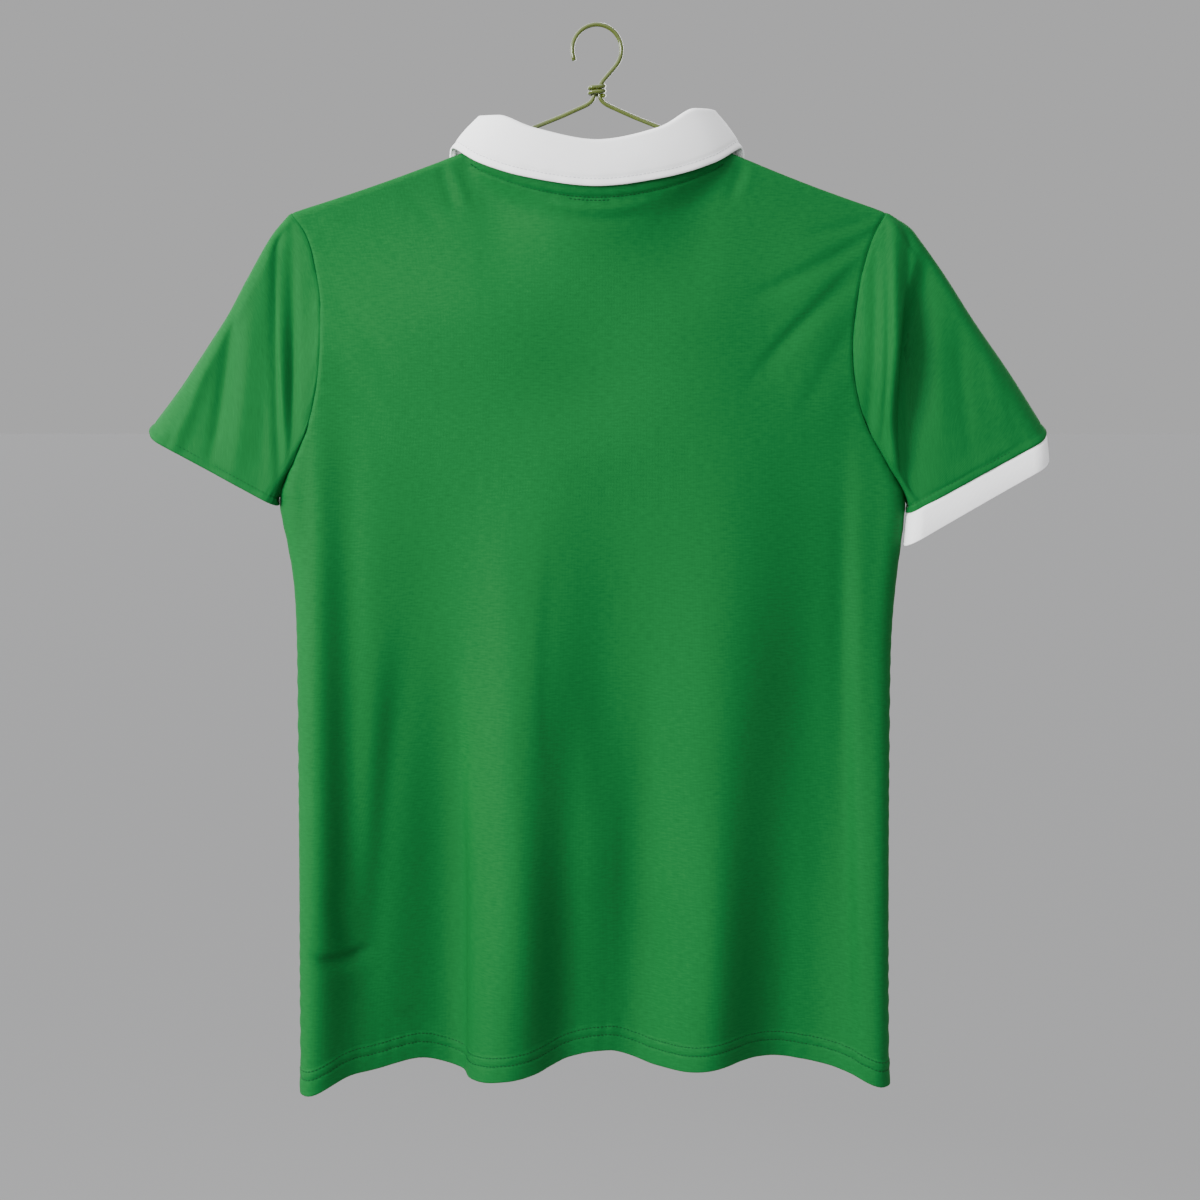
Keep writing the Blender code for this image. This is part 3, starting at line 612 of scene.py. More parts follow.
def neck_depth(x, half, drop=0.0):
    """How far the cloth stands off at and below the neck edge: rounder at the edge itself."""
    t = np.clip(np.abs(x) / NECK_HALF, 0.0, 1.0)
    edge, below = np.sqrt(1 - t**2), (1 - t**2) ** 2
    return NECK_DEPTH[half] * (edge + (below - edge) * smoothstep(drop / NECK_FALL))


def eased_corner(x):
    """How far below the neck's corner the settling starts, as if that corner were rounded."""
    off = np.abs(x) - NECK_HALF
    return CORNER_SLOPE * (np.hypot(off, CORNER_EASE) - np.abs(off))


def hem_z(x, side):
    edge = half_width(HEM_Z, side) - np.abs(x)
    rise = read_off(HEM_WAVE, HEM_WAVE_COLUMNS, "rise", np.abs(x) * side)
    return HEM_Z + rise - HEM_CORNER_DROP[side] * bump(edge, HEM_CORNER_WIDTH)


def hem_below(x):
    """Height of the hem on whichever side of the middle a place lies."""
    return np.where(x < 0, hem_z(x, LEFT), hem_z(x, RIGHT))


def folds(rows, x, z):
    """How far the hanging folds push the cloth along Y at a place."""
    push = np.zeros_like(x)
    for x_top, x_hem, z_top, depth, spread in rows:
        down = np.clip((z_top - z) / (z_top - HEM_Z), 0.0, 1.2)
        line = x_top + (x_hem - x_top) * down
        push += depth * smoothstep(down) ** FOLD_POWER * bump(x - line, spread)
    return push


def lowered(top, bottom, side, down, first):
    """Height of a row: first below the top, to the armhole's turn, the armpit and the bottom."""
    z = top - first
    z = z + (ARMHOLE_TURN_Z - z) * np.clip(down - 1, 0, 1)
    z = z + (ARMPIT_Z[side] - ARMHOLE_TURN_Z) * np.sin(quarter_turn(down - 2))
    return z + (bottom - ARMPIT_Z[side]) * np.clip(down - 3, 0, 1.1)


def body_side(across, down, side, half):
    """One side of the body's wall, from its middle out to the armhole or the side seam."""
    around = np.clip(down, -1.0, 1.0)
    fold = around * math.pi / 2
    rolled = SHOULDER_FOLD * (1 - np.cos(fold))
    edge_z = lowered(SHOULDER_Z[side], HEM_Z - HEM_CORNER_DROP[side], side, down, rolled)
    side_x = half_width(edge_z, side)
    radius = depth_at(edge_z, "side")
    end_angle = quarter_turn(down - 2)
    flat_x = side_x - radius * np.sin(end_angle)
    narrowing = np.abs(across) ** (2 * (1 - smoothstep(down - 1)))
    beyond = flat_x + radius * end_angle - SHOULDER_X[side]
    run = across * (SHOULDER_X[side] + beyond * narrowing)
    angle = np.clip((run - flat_x) / radius, 0.0, SIDE_ROUND)
    x = np.where(run < flat_x, run, flat_x + radius * np.sin(angle))

    top_x = across * SHOULDER_X[side]
    in_neck = top_x < NECK_HALF - 1e-6
    top = np.where(in_neck, neck_z(top_x, half), shoulder_z(top_x, side))
    widened = smoothstep((1 - top_x / NECK_HALF) / NECK_BAND_EASE)
    band = SHOULDER_FOLD + (NECK_BAND[half] - SHOULDER_FOLD) * widened
    z = lowered(top, hem_z(x, side), side, down, np.where(in_neck, band * around, rolled))

    seam_depth = SHOULDER_FOLD * np.sin(fold)
    off_neck = np.hypot(neck_depth(top_x, half, top - z), seam_depth)
    top_depth = np.where(in_neck, off_neck, seam_depth)
    crown = np.cos(np.clip(x / side_x, -1, 1) * math.pi / 2) ** 2
    full = radius * np.cos(angle) + (depth_at(z, "middle") - depth_at(z, "side")) * crown
    settled = smoothstep((top - eased_corner(top_x) - z) / SETTLE)
    y = half * (top_depth + (full - top_depth) * settled)
    x = x * side
    y = y + folds(BODY_FOLDS, x, z) + folds(OWN_FOLDS[half], x, z) * np.cos(angle) * settled
    return np.stack([x, y, z], axis=-1)


def body(across, down, half):
    """The middle of the body's cloth, before its small creases.

    across runs from -1 to 1 between the side seams. down runs 0 to 1 round the shoulder fold,
    to 2 at the armhole's turn, to 3 at the armpit and to 4 at the hem.
    """
    across, down = same_shape(across, down)
    left = body_side(-across, down, LEFT, half)
    right = body_side(across, down, RIGHT, half)
    return np.where((across < 0)[..., None], left, right)


def above_hem(point):
    """How far a point of the body lies above the hem's edge."""
    return point[..., 2] - hem_below(point[..., 0])


def below_neck(point, half):
    """How far a point of the body lies below the neck edge or the shoulder seam."""
    x, z = point[..., 0], point[..., 2]
    shoulder = np.where(x < 0, shoulder_z(x, LEFT), shoulder_z(x, RIGHT))
    return np.where(np.abs(x) < NECK_HALF, neck_z(x, half), shoulder) - z


def shoulder_reach(x):
    return np.where(x < 0, SHOULDER_X[LEFT], SHOULDER_X[RIGHT])


def in_turned_hem(rise):
    """1 where the cloth is turned up at the hem, falling to 0 above it."""
    return smoothstep((HEM_TURN + 1.0 - rise) / HEM_EASE)


def body_relief(point, across, down, half):
    """Creases, the turned hem and the seams' rolled edges, as a height off the body's cloth."""
    x, z = point[..., 0], point[..., 2]
    seed = PANEL_SEED[half]
    rise, drop = above_hem(point), below_neck(point, half)
    height = creases(CREASES[half], x, z) + HEM_STEP * in_turned_hem(rise)
    for line in HEM_LINES:
        height -= HEM_GROOVE * bump(rise - line, GROOVE_WIDTH)
    height += puckers("hem_lines", x, rise, seed) + puckers("hem_edge", x, rise, seed + 2)

    in_neck = smoothstep((NECK_HALF + 3.0 - np.abs(x)) / 6.0)
    at_neck = NECK_STEP * smoothstep((NECK_LINE - drop) / NECK_EASE)
    at_neck -= NECK_GROOVE * bump(drop - NECK_LINE, GROOVE_WIDTH)
    at_neck += puckers("neck_line", x, drop - NECK_LINE, seed + 1)
    height += at_neck * in_neck

    to_side = shoulder_reach(x) * (1 - np.abs(across))
    height += puckers("armhole", z, to_side, seed + 3)
    height -= SEAM_ROLL * bump(to_side, SEAM_ROLL_WIDTH)
    from_shoulder = quarter_turn(down) * SHOULDER_FOLD + np.maximum(drop - SHOULDER_FOLD, 0)
    height -= SEAM_ROLL * bump(from_shoulder, SEAM_ROLL_WIDTH) * (1 - in_neck)
    return height


def body_cloth(across, down, half):
    """The middle of the body's cloth, with its creases."""
    across, down = same_shape(across, down)
    plain = body(across, down, half)
    out = normals_of(lambda a, d: body(a, d, half), across, down) * half
    return plain + out * body_relief(plain, across, down, half)[..., None]


# ================================================================ sleeves and cuff


def round_armhole(ring):
    """ring runs 0 to 3 down the back of the armhole and to 6 up its front: half, and down."""
    ring = np.mod(ring, 6.0)
    half = np.where(ring <= 3, BACK, FRONT)
    return half, np.where(ring <= 3, ring, 6 - ring)


def ring_share(down):
    """How far round the half ring of a sleeve's end a row of the armhole comes, 0 to 1."""
    return eased(down, range(len(RING_SHARES)), RING_SHARES)


def end_ring(ring, side, size):
    """A flattened ring with round ends, from its outer tip to the underarm and back."""
    half, down = round_armhole(ring)
    tip = np.array([size["tip_x"], size["tip_z"]])
    under = np.array([size["under_x"], size["under_z"]])
    length = np.linalg.norm(under - tip)
    line = (under - tip) / length
    outer, inner = quarter_turn(down), quarter_turn(3 - down)
    share = np.clip(down - 1, 0, 1)
    middle = smoothstep(share) * (1 - EVEN_SPREAD) + share * EVEN_SPREAD
    straight = (length - 2 * size["depth"]) * middle
    run = size["depth"] * (1 - np.cos(outer)) + straight + size["depth"] * np.cos(inner)
    y = half * size["depth"] * np.minimum(np.sin(outer), np.sin(inner))
    y = y + size["under_y"] * (run / length) ** 2
    x = tip[0] + line[0] * run
    z = tip[1] + line[1] * run + TIP_ROUND * (1 - np.sin(outer)) ** 2
    return np.stack([side * x, y, z], axis=-1)


def pleat_share(ring, root, side, size):
    """How far along the sleeve its pleat's edge lies, for a start on the armhole seam."""
    edge_x = read_off(PLEAT_LINE, PLEAT_COLUMNS, SIDE_NAME[side], root[..., 2])
    root_x = side * root[..., 0]
    end_x = side * end_ring(ring, side, size)[..., 0]
    return np.maximum((edge_x - root_x) / (end_x - root_x), PLEAT_LEAST)


def sleeve(ring, along, side):
    """The middle of a sleeve's cloth: ring goes round it, along runs from the armhole to its end."""
    ring, along = same_shape(ring, along)
    size = dict(zip(SLEEVE_COLUMNS, SLEEVE[side]))
    half, down = round_armhole(ring)
    edge = np.full_like(down, float(side))
    root = np.where((half == BACK)[..., None], body(edge, down, BACK), body(edge, down, FRONT))
    t = along[..., None]
    point = root * (1 - t) + end_ring(ring, side, size) * t
    share = ring_share(down)
    bow = read_off(SLEEVE_BOW, BOW_COLUMNS, SIDE_NAME[side], along)
    bow = bow * np.clip(1 - share / 0.5, 0, 1) ** 2
    bulge = UNDERARM_BULGE * np.sin(math.pi * along) * smoothstep(down - 2)
    point[..., 0] += side * (bow * BOW_OUT + bulge)
    point[..., 2] += bow * BOW_UP
    lean = np.sin(math.pi * np.clip(share / LEAN_REACH, 0, 1)) ** LEAN_POWER
    pleat_at = pleat_share(ring, root, side, size)
    before = quarter_turn(along / pleat_at)
    after = smoothstep((along - pleat_at) / size["step"])
    fade = np.clip(1 - (along - pleat_at) / PLEAT_FADE, 0, 1) ** 1.5
    strip = size["strip"] * np.sin(before) * (1 - after)
    outer = size["outer"] * after * fade
    point[..., 1] += half * lean * (strip + outer)
    return point


def sleeve_length(ring, side):
    ends = sleeve(ring, np.ones_like(ring), side) - sleeve(ring, np.zeros_like(ring), side)
    return np.linalg.norm(ends, axis=-1)


def in_turned_end(from_end):
    """1 where the cloth is turned in at a sleeve's end, falling to 0 above it."""
    return smoothstep((SLEEVE_HEM + 0.8 - from_end) / SLEEVE_EASE)


def sleeve_cloth(ring, along, side):
    """The middle of a sleeve's cloth, with its creases, its hem and its rolled edge."""
    ring, along = same_shape(ring, along)
    plain = sleeve(ring, along, side)
    out = normals_of(lambda r, t: sleeve(r, t, side), ring, along) * side
    _, down = round_armhole(ring)
    share = ring_share(down)
    flat = smoothstep(share / TIP_UNCREASED) * smoothstep((1 - share) / UNDERARM_UNCREASED)
    height = creases(SLEEVE_CREASES[side], plain[..., 0], plain[..., 2]) * flat
    length = sleeve_length(ring, side)
    from_seam, from_end = along * length, (1 - along) * length
    height -= SEAM_ROLL * bump(from_seam, SEAM_ROLL_WIDTH)
    height += puckers("sleeve_top", ring * RING_STEP, from_seam, 2.0 * side)
    height += SLEEVE_STEP * in_turned_end(from_end)
    height -= SLEEVE_GROOVE * bump(from_end - SLEEVE_HEM, GROOVE_WIDTH)
    height += puckers("sleeve_end", ring * RING_STEP, from_end - SLEEVE_HEM, 5.0 * side)
    return plain + out * height[..., None]


def cuff_cloth(ring, along):
    """The middle of the cuff's cloth, from the right sleeve's end to the cuff's own edge."""
    top = end_ring(ring, RIGHT, dict(zip(SLEEVE_COLUMNS, SLEEVE[RIGHT])))
    edge = end_ring(ring, RIGHT, dict(zip(CUFF_COLUMNS, CUFF)))
    half, _ = round_armhole(ring)
    wave = CUFF_WAVE * ripple(ring * RING_STEP, 24.0, 3.0)
    swell = np.zeros_like(top)
    swell[..., 1] = half * (CUFF_SWELL * np.sin(math.pi * along) + wave) * along**0.5
    t = along[..., None]
    return top * (1 - t) + edge * t + swell


# ================================================================ collar


def neck_seam(share, side):
    """A point of the neck edge: share is 0 at the back's middle, 1 at the shoulder, 2 at the V."""
    behind = share <= 1
    x = NECK_HALF * np.where(behind, share, 2 - share)
    z = np.where(behind, neck_z(x, BACK), neck_z(x, FRONT))
    y = np.where(behind, -neck_depth(x, BACK), neck_depth(x, FRONT))
    return np.stack([side * x, y, z], axis=-1)


def collar_stations(count):
    """The collar's seam, fold, edge and outward direction at even steps round the neck."""
    places, rows = [], []
    for side in (LEFT, RIGHT):
        for number, values in enumerate(COLLAR_STATIONS):
            if number == 0 and side == RIGHT:
                continue
            row = dict(zip(COLLAR_COLUMNS, values))
            rise = row["right_rise"] if side == RIGHT else 0.0
            places.append(side * number)
            rows.append((
                side * row["turn"], side * row["neck"],
                side * row["fold_x"], row["fold_y"], row["fold_z"] + rise,
                side * row["edge_x"], row["edge_y"], row["edge_z"],
            ))
    order = np.argsort(places)
    places = np.array(places, float)[order]
    rows = np.array(rows)[order]
    at = np.linspace(places[0], places[-1], count)
    values = [eased(at, places, rows[:, index]) for index in range(rows.shape[1])]
    turn, neck = np.radians(values[0]), values[1]
    seam = np.where((neck < 0)[:, None], neck_seam(-neck, LEFT), neck_seam(neck, RIGHT))
    fold = np.stack(values[2:5], axis=-1)
    edge = np.stack(values[5:8], axis=-1)
    outward = np.stack([np.sin(turn), -np.cos(turn), np.zeros_like(turn)], axis=-1)
    return seam, fold, edge, outward


def collar_middle(count):
    """Points round and across the collar: up from the neck edge, over the roll, down the leaf."""
    seam, fold, edge, outward = collar_stations(count)
    running = unit(np.gradient(fold, axis=0))
    up = unit(square_to(fold - seam, running))
    outward = unit(square_to(square_to(outward, running), up))
    start = seam + up * NECK_SEAM
    bend = fold - up * COLLAR_ROLL
    lines = [start + (bend - start) * t for t in np.linspace(0.0, 1.0, STAND_ROWS)]
    centre = bend + outward * COLLAR_ROLL
    for angle in np.linspace(0.0, math.pi, ROLL_ROWS + 1)[1:]:
        lines.append(centre + (up * math.sin(angle) - outward * math.cos(angle)) * COLLAR_ROLL)
    leaf_top = lines[-1]
    for t in np.linspace(0.0, 1.0, LEAF_ROWS + 1)[1:]:
        belly = outward * COLLAR_BELLY * math.sin(math.pi * t)
        lines.append(leaf_top * (1 - t) + edge * t + belly)
    return np.stack(lines, axis=1)


# ================================================================ meshes


def grid_normals(middle, closed_ring):
    if closed_ring:
        padded = np.concatenate([middle[-1:], middle, middle[:1]])
        along_rows = np.gradient(padded, axis=0)[1:-1]
    else:
        along_rows = np.gradient(middle, axis=0)
    return unit(np.cross(along_rows, np.gradient(middle, axis=1)))


def facing(normal, sample, half):
    """Normals turned so that a sample of them faces the garment's back or its front."""
    return normal * np.sign(np.median(sample[..., 1])) * half


def arc_lengths(middle, axis):
    steps = np.linalg.norm(np.diff(middle, axis=axis), axis=-1)
    lead = [(0, 0), (0, 0)]
    lead[axis] = (1, 0)
    return np.pad(np.cumsum(steps, axis=axis), lead)


def flat_cut(middle):
    """Each point's place on the flat cloth."""
    return np.stack([arc_lengths(middle, 0), arc_lengths(middle, 1)], axis=-1)


def add_mesh(name, points, faces, finish):
    mesh = bpy.data.meshes.new(name)
    mesh.from_pydata(points.tolist(), [], faces)
    mesh.materials.append(finish)
    made = bpy.data.objects.new(name, mesh)
    bpy.context.scene.collection.objects.link(made)
    return made


def strip_of_quads(first, second):
    """A row of quads between two lines of point numbers."""
    return np.stack([first[:-1], second[:-1], second[1:], first[1:]], axis=-1)


def shell(name, middle, normal, thickness, finish, cut, closed_ring=False):
    """A closed sheet with rounded rims, from a grid of middle points and their outward normals.

    cut holds each point's place on the flat cloth, in millimetres.
    """
    rows, columns = middle.shape[:2]
    thickness = np.broadcast_to(thickness, (rows, columns))[..., None]
    offset = normal * thickness / 2
    points = [(middle + offset).reshape(-1, 3), (middle - offset).reshape(-1, 3)]
    places = [cut.reshape(-1, 2)] * 2
    index = np.arange(rows * columns).reshape(rows, columns)
    skins = [index, index + rows * columns]
    if closed_ring:
        skins = [np.concatenate([skin, skin[:1]]) for skin in skins]
    quads = [
        np.stack([skin[:-1, :-1], skin[1:, :-1], skin[1:, 1:], skin[:-1, 1:]], axis=-1)
        for skin in skins
    ]
    quads = [quads[0].reshape(-1, 4), quads[1][..., ::-1].reshape(-1, 4)]

    # Each rim: the skin it starts from, where it runs on the grid, and the line next to it
    every = slice(None)
    rims = [(0, (every, 0), (every, 1)), (1, (every, -1), (every, -2))]
    if not closed_ring:
        rims += [(1, 0, 1), (0, -1, -2)]
    total = 2 * rows * columns
    for start, here, inside in rims:
        outwards = unit(middle[here] - middle[inside])
        line = middle[here] + outwards * thickness[here] * RIM_ROUND
        points.append(line)
        places.append(cut[here])
        ids = np.arange(total, total + len(line))
        total += len(line)
        if closed_ring:
            ids = np.append(ids, ids[:1])
        quads.append(strip_of_quads(skins[start][here], ids))
        quads.append(strip_of_quads(ids, skins[1 - start][here]))

    made = add_mesh(name, np.concatenate(points) * MM, np.concatenate(quads).tolist(), finish)
    layer = made.data.uv_layers.new(name="cut")
    corners = np.empty(len(made.data.loops), int)
    made.data.loops.foreach_get("vertex_index", corners)
    layer.data.foreach_set("uv", np.concatenate(places)[corners].ravel())
    close_and_face(made)
    return made


def close_and_face(made):
    """Closes the corners left open where two rims meet, and turns all faces outwards."""
    work = bmesh.new()
    work.from_mesh(made.data)
    bmesh.ops.holes_fill(work, edges=[e for e in work.edges if e.is_boundary], sides=8)
    bmesh.ops.recalc_face_normals(work, faces=work.faces)
    for face in work.faces:
        face.smooth = True
    work.to_mesh(made.data)
    work.free()
    made.data.update()


def dress(made, slot, *nodes):
    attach(made, "root")
    if nodes:
        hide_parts(*nodes)


# ---------------------------------------------------------------- grids


def across_grid():
    """Columns across a panel: closer together beside the side seams."""
    even = np.linspace(0.0, 1.0, ACROSS_COLUMNS)
    sides = []
    for side in (LEFT, RIGHT):
        near_seam = 1 - np.array(NEAR_SIDE) / SHOULDER_X[side]
        inner = even[even < near_seam[-1] - 0.004]
        sides.append(side * np.concatenate([inner, near_seam[::-1], [1.0]]))
    return np.concatenate([sides[0][::-1], sides[1][1:]])


def down_grid():
    """Rows down a panel: round the shoulder fold, then to the armpit, then to the hem."""
    fold = np.linspace(0.0, 1.0, 8)
    near_neck = 1 + np.linspace(0.0, NECK_FINE, 12)[1:] / NECK_TO_TURN
    armhole = np.linspace(near_neck[-1], 2.0, 56)[1:]
    turn = np.linspace(2.0, 3.0, 28)[1:]
    length = ARMPIT_Z[LEFT] - HEM_Z
    below = np.linspace(3.0, 4 - HEM_FINE / length, 152)[1:]
    near_hem = (4 - np.array(NEAR_HEM) / length)[::-1]
    return np.concatenate([fold, near_neck, armhole, turn, below, near_hem])


def body_panel(name, node, half, finish):
    across, down = across_grid(), down_grid()
    down[0] = SEAM / 2 / (SHOULDER_FOLD * math.pi / 2)
    across[0] += SEAM / 2 / SHOULDER_X[LEFT]
    across[-1] -= SEAM / 2 / SHOULDER_X[RIGHT]
    middle = body_cloth(*np.meshgrid(across, down), half)
    normal = grid_normals(middle, False)
    normal = facing(normal, normal, half)
    run = arc_lengths(middle, 1)
    centre = np.argmin(np.abs(across))
    cut = np.stack([run - run[:, centre : centre + 1], -middle[..., 2]], axis=-1)
    thickness = KNIT + (HEM_KNIT - KNIT) * in_turned_hem(above_hem(middle))
    made = shell(name, middle, normal, thickness, finish, cut)
    dress(made, "green_cloth", node)
    return made


def ring_grid(turn_rows):
    """Rows round a sleeve or its cuff: over the outer fold, down the back, round the underarm."""
    fold = np.linspace(0.0, 1.0, 9)
    back = np.linspace(1.0, 2.0, 58)[1:]
    turn = np.linspace(2.0, 3.0, turn_rows)[1:]
    rows = np.concatenate([fold, back, turn])
    return np.concatenate([rows, 6 - rows[-2:0:-1]])


def tube_normals(middle):
    """Outward normals of a sleeve or cuff: the first third of its rows is on the back."""
    normal = grid_normals(middle, True)
    return facing(normal, normal[: len(middle) // 3], BACK)


def sleeve_tube(name, node, side, finish):
    ring = ring_grid(26)
    _, down = round_armhole(ring)
    length = sleeve_length(ring, side)
    start = (SEAM / 2 + UNDERARM_GAP * smoothstep(down - 2)) / length
    near_seam = np.array(NEAR_ARMHOLE) / UNDERARM
    near_end = 1 - np.array(NEAR_SLEEVE_END) / UNDERARM
    along = np.concatenate([near_seam, np.linspace(*SLEEVE_EVEN), near_end[::-1]])
    grid_ring, grid_along = np.meshgrid(ring, along, indexing="ij")
    grid_along = start[:, None] + (1 - start[:, None]) * grid_along
    middle = sleeve_cloth(grid_ring, grid_along, side)
    if side == RIGHT:
        middle[:, -1] -= unit(middle[:, -1] - middle[:, -2]) * SEAM / 2
    from_end = (1 - grid_along) * length[:, None]
    thickness = KNIT + (HEM_KNIT - KNIT) * in_turned_end(from_end)
    normal = tube_normals(middle)
    made = shell(name, middle, normal, thickness, finish, flat_cut(middle), closed_ring=True)
    dress(made, "green_cloth", node)
    return made


def cuff_band(finish):
    ring = ring_grid(20)
    near_seam, near_edge = (0.006, 0.03, 0.07, 0.12), (0.95, 0.985, 1.0)
    along = np.concatenate([near_seam, np.linspace(0.18, 0.9, 12), near_edge])
    middle = cuff_cloth(*np.meshgrid(ring, along, indexing="ij"))
    normal = tube_normals(middle)
    cut = flat_cut(middle)
    roll = SEAM_ROLL * bump(along * CUFF_WIDTH, SEAM_ROLL_WIDTH)
    middle = middle - normal * roll[None, :, None]
    made = shell("sleeve_cuff", middle, normal, CUFF_KNIT, finish, cut, closed_ring=True)
    dress(made, "white_cloth", "cuff_right")
    return made


def collar_leaf(finish):
    middle = collar_middle(COLLAR_COUNT)
    normal = grid_normals(middle, False)
    normal = facing(normal, normal[len(middle) // 2, -3], BACK)
    cut = flat_cut(middle)
    width = cut[:, -1:, 1] - cut[..., 1]
    run = cut[:, FOLD_ROW, 0][:, None] * np.ones_like(width)
    height = puckers("collar_edge", run, width, 2.0)
    height -= COLLAR_GROOVE * bump(width - COLLAR_LINE, COLLAR_GROOVE_WIDTH)
    middle = middle + normal * height[..., None]
    made = shell("polo_collar", middle, normal, COLLAR_KNIT, finish, cut)
    dress(made, "white_cloth", "collar")
    return made, middle, normal, width


# ================================================================ stitching


def deselect():
    for thing in bpy.context.selected_objects:
        thing.select_set(False)


def model_stitch():
    """One stitch lying along X: a short round bar whose ends are drawn in and dip down."""
    deselect()
    bpy.ops.mesh.primitive_cylinder_add(
        vertices=6, radius=STITCH_WIDE / 2 * MM, depth=STITCH_LONG / 2 * MM,
        rotation=(0, math.pi / 2, 0),
    )
    stitch = bpy.context.object
    bpy.ops.object.transform_apply(location=True, rotation=True, scale=True)
    for end in (-1, 1):
        bpy.ops.object.mode_set(mode="EDIT")
        bpy.ops.mesh.select_mode(type="FACE")
        work = bmesh.from_edit_mesh(stitch.data)
        for face in work.faces:
            face.select_set(face.normal.x * end > 0.9)
        bmesh.update_edit_mesh(stitch.data)
        reach = (end * STITCH_LONG / 4 * MM, 0.0, -STITCH_DIP * MM)
        bpy.ops.mesh.extrude_region_move(TRANSFORM_OT_translate={"value": reach})
        bpy.ops.transform.resize(value=(1.0, STITCH_END, STITCH_END))
        bpy.ops.object.mode_set(mode="OBJECT")
    points = np.array([v.co[:] for v in stitch.data.vertices])
    faces = [list(p.vertices) for p in stitch.data.polygons]
    bpy.data.objects.remove(stitch, do_unlink=True)
    return points, faces


def distances(line):
    """How far along a line each of its points lies."""
    return np.append(0.0, np.cumsum(np.linalg.norm(np.diff(line, axis=0), axis=1)))


def at_distance(at, run, line):
    """Values along a line at given distances."""
    return np.stack([np.interp(at, run, part) for part in line.T], axis=-1)


def stitching(name, runs, finish, slot):
    """Copies of one stitch at an even pitch along each run of points and outward directions."""
    shape, shape_faces = model_stitch()
    points, faces = [], []
    for line, out in runs:
        run = distances(line)
        count = int(run[-1] / STITCH_PITCH)
        at = (np.arange(count) + 0.5) * run[-1] / count
        centre = at_distance(at, run, line) * MM
        ahead, behind = (at_distance(at + step, run, line) for step in (0.8, -0.8))
        up = unit(at_distance(at, run, out))
        along = unit(square_to(ahead - behind, up))
        aside = np.cross(up, along)
        for number in range(count):
            base = len(points) * len(shape)
            axes = np.stack([along[number], aside[number], up[number]])
            points.append(centre[number] + shape @ axes)
            faces += [[base + corner for corner in face] for face in shape_faces]
    made = add_mesh(name, np.concatenate(points), faces, finish)
    made.data.shade_smooth()
    dress(made, slot)
    return made


def on_cloth(surface, first, second, way, thickness):
    """A run of stitches on a surface's outer side."""
    out = normals_of(surface, first, second) * way
    return surface(first, second) + out * (thickness / 2 + STITCH_PROUD), out


def hem_runs(half):
    """The twin lines along the hem, up to just short of the side seams."""
    across = np.linspace(-HEM_STITCHED, HEM_STITCHED, HEM_POINTS)
    reach = np.where(across < 0, HEM_REACH[LEFT], HEM_REACH[RIGHT])
    length = ARMPIT_Z[LEFT] - hem_below(across * reach)
    return [
        on_cloth(lambda a, d: body_cloth(a, d, half), across, 4 - line / length, half, HEM_KNIT)
        for line in HEM_LINES
    ]


def neck_runs():
    """The line round the back of the neck, and the short one that holds the label inside."""
    ends = -NECK_HALF / SHOULDER_X[LEFT], NECK_HALF / SHOULDER_X[RIGHT]
    across = np.linspace(*ends, NECK_POINTS)
    x = across * shoulder_reach(across)
    edge = neck_z(x, BACK)

    def line_at(drop, keep):
        down = 1 + (drop - NECK_BAND[BACK]) / (edge[keep] - NECK_BAND[BACK] - ARMHOLE_TURN_Z)
        return on_cloth(lambda a, d: body_cloth(a, d, BACK), across[keep], down, BACK, KNIT)

    whole = np.abs(x) < NECK_HALF - 1.0
    label = np.abs(x - LABEL_X) < LABEL_HALF
    return [line_at(NECK_LINE, whole), line_at(LABEL_LINE, label)]


def sleeve_runs(side):
    ring = np.linspace(0.0, 6.0, SLEEVE_POINTS)
    along = 1 - SLEEVE_HEM / sleeve_length(ring, side)
    return [on_cloth(lambda r, t: sleeve_cloth(r, t, side), ring, along, side, KNIT)]


def collar_runs(middle, normal, width):
    """The line beside the collar's outer edge, from a few steps in at either end."""
    line, out = [], []
    for row in range(COLLAR_UNSTITCHED, len(middle) - COLLAR_UNSTITCHED):
        order = np.argsort(width[row])[:COLLAR_NEAR_EDGE]
        near_edge = width[row, order]
        line.append(at_distance(COLLAR_LINE, near_edge, middle[row, order]))
        out.append(at_distance(COLLAR_LINE, near_edge, normal[row, order]))
    line, out = np.array(line), unit(np.array(out))
    return [(line + out * (COLLAR_KNIT / 2 + COLLAR_STITCH_PROUD), out)]


# ================================================================ hanger


def arc(centre_x, centre_z, radius, start, end, steps):
    angles = np.radians(np.linspace(start, end, steps))
    return [(centre_x + radius * math.cos(a), centre_z + radius * math.sin(a)) for a in angles]


def hanger_arm(side):
    """An arm from the neck out to its end, just under the cloth of the shoulder, then its bend."""
    points = [(x, HANGER_NECK_Z + z) for x, z in ARM_ROOT]
    under = PANEL_KNIT / 2 + SEAM + WIRE / 2 + ARM_CLEAR
    bend_x = ARM_END_X[side] - END_BEND
    for share in ARM_SHARES:
        x = NECK_HALF + (bend_x - NECK_HALF) * share
        points.append((x, float(shoulder_z(x, side)) - under))
    slope = math.radians(ARM_SLOPE)
    radius = (points[-1][1] - BAR_Z) / (1 + math.cos(slope))
    centre_x, centre_z = bend_x - radius * math.sin(slope), BAR_Z + radius
    points += arc(centre_x, centre_z, radius, 90.0 - ARM_SLOPE, -90.0, 13)[1:]
    return [(side * x, z) for x, z in points]


def hook():
    """The hook from its free end over the top, and down to the hanger's neck."""
    return arc(0.0, -HOOK_INSIDE, HOOK_INSIDE + WIRE / 2, *HOOK_TURN, 25) + list(HOOK_ROOT)


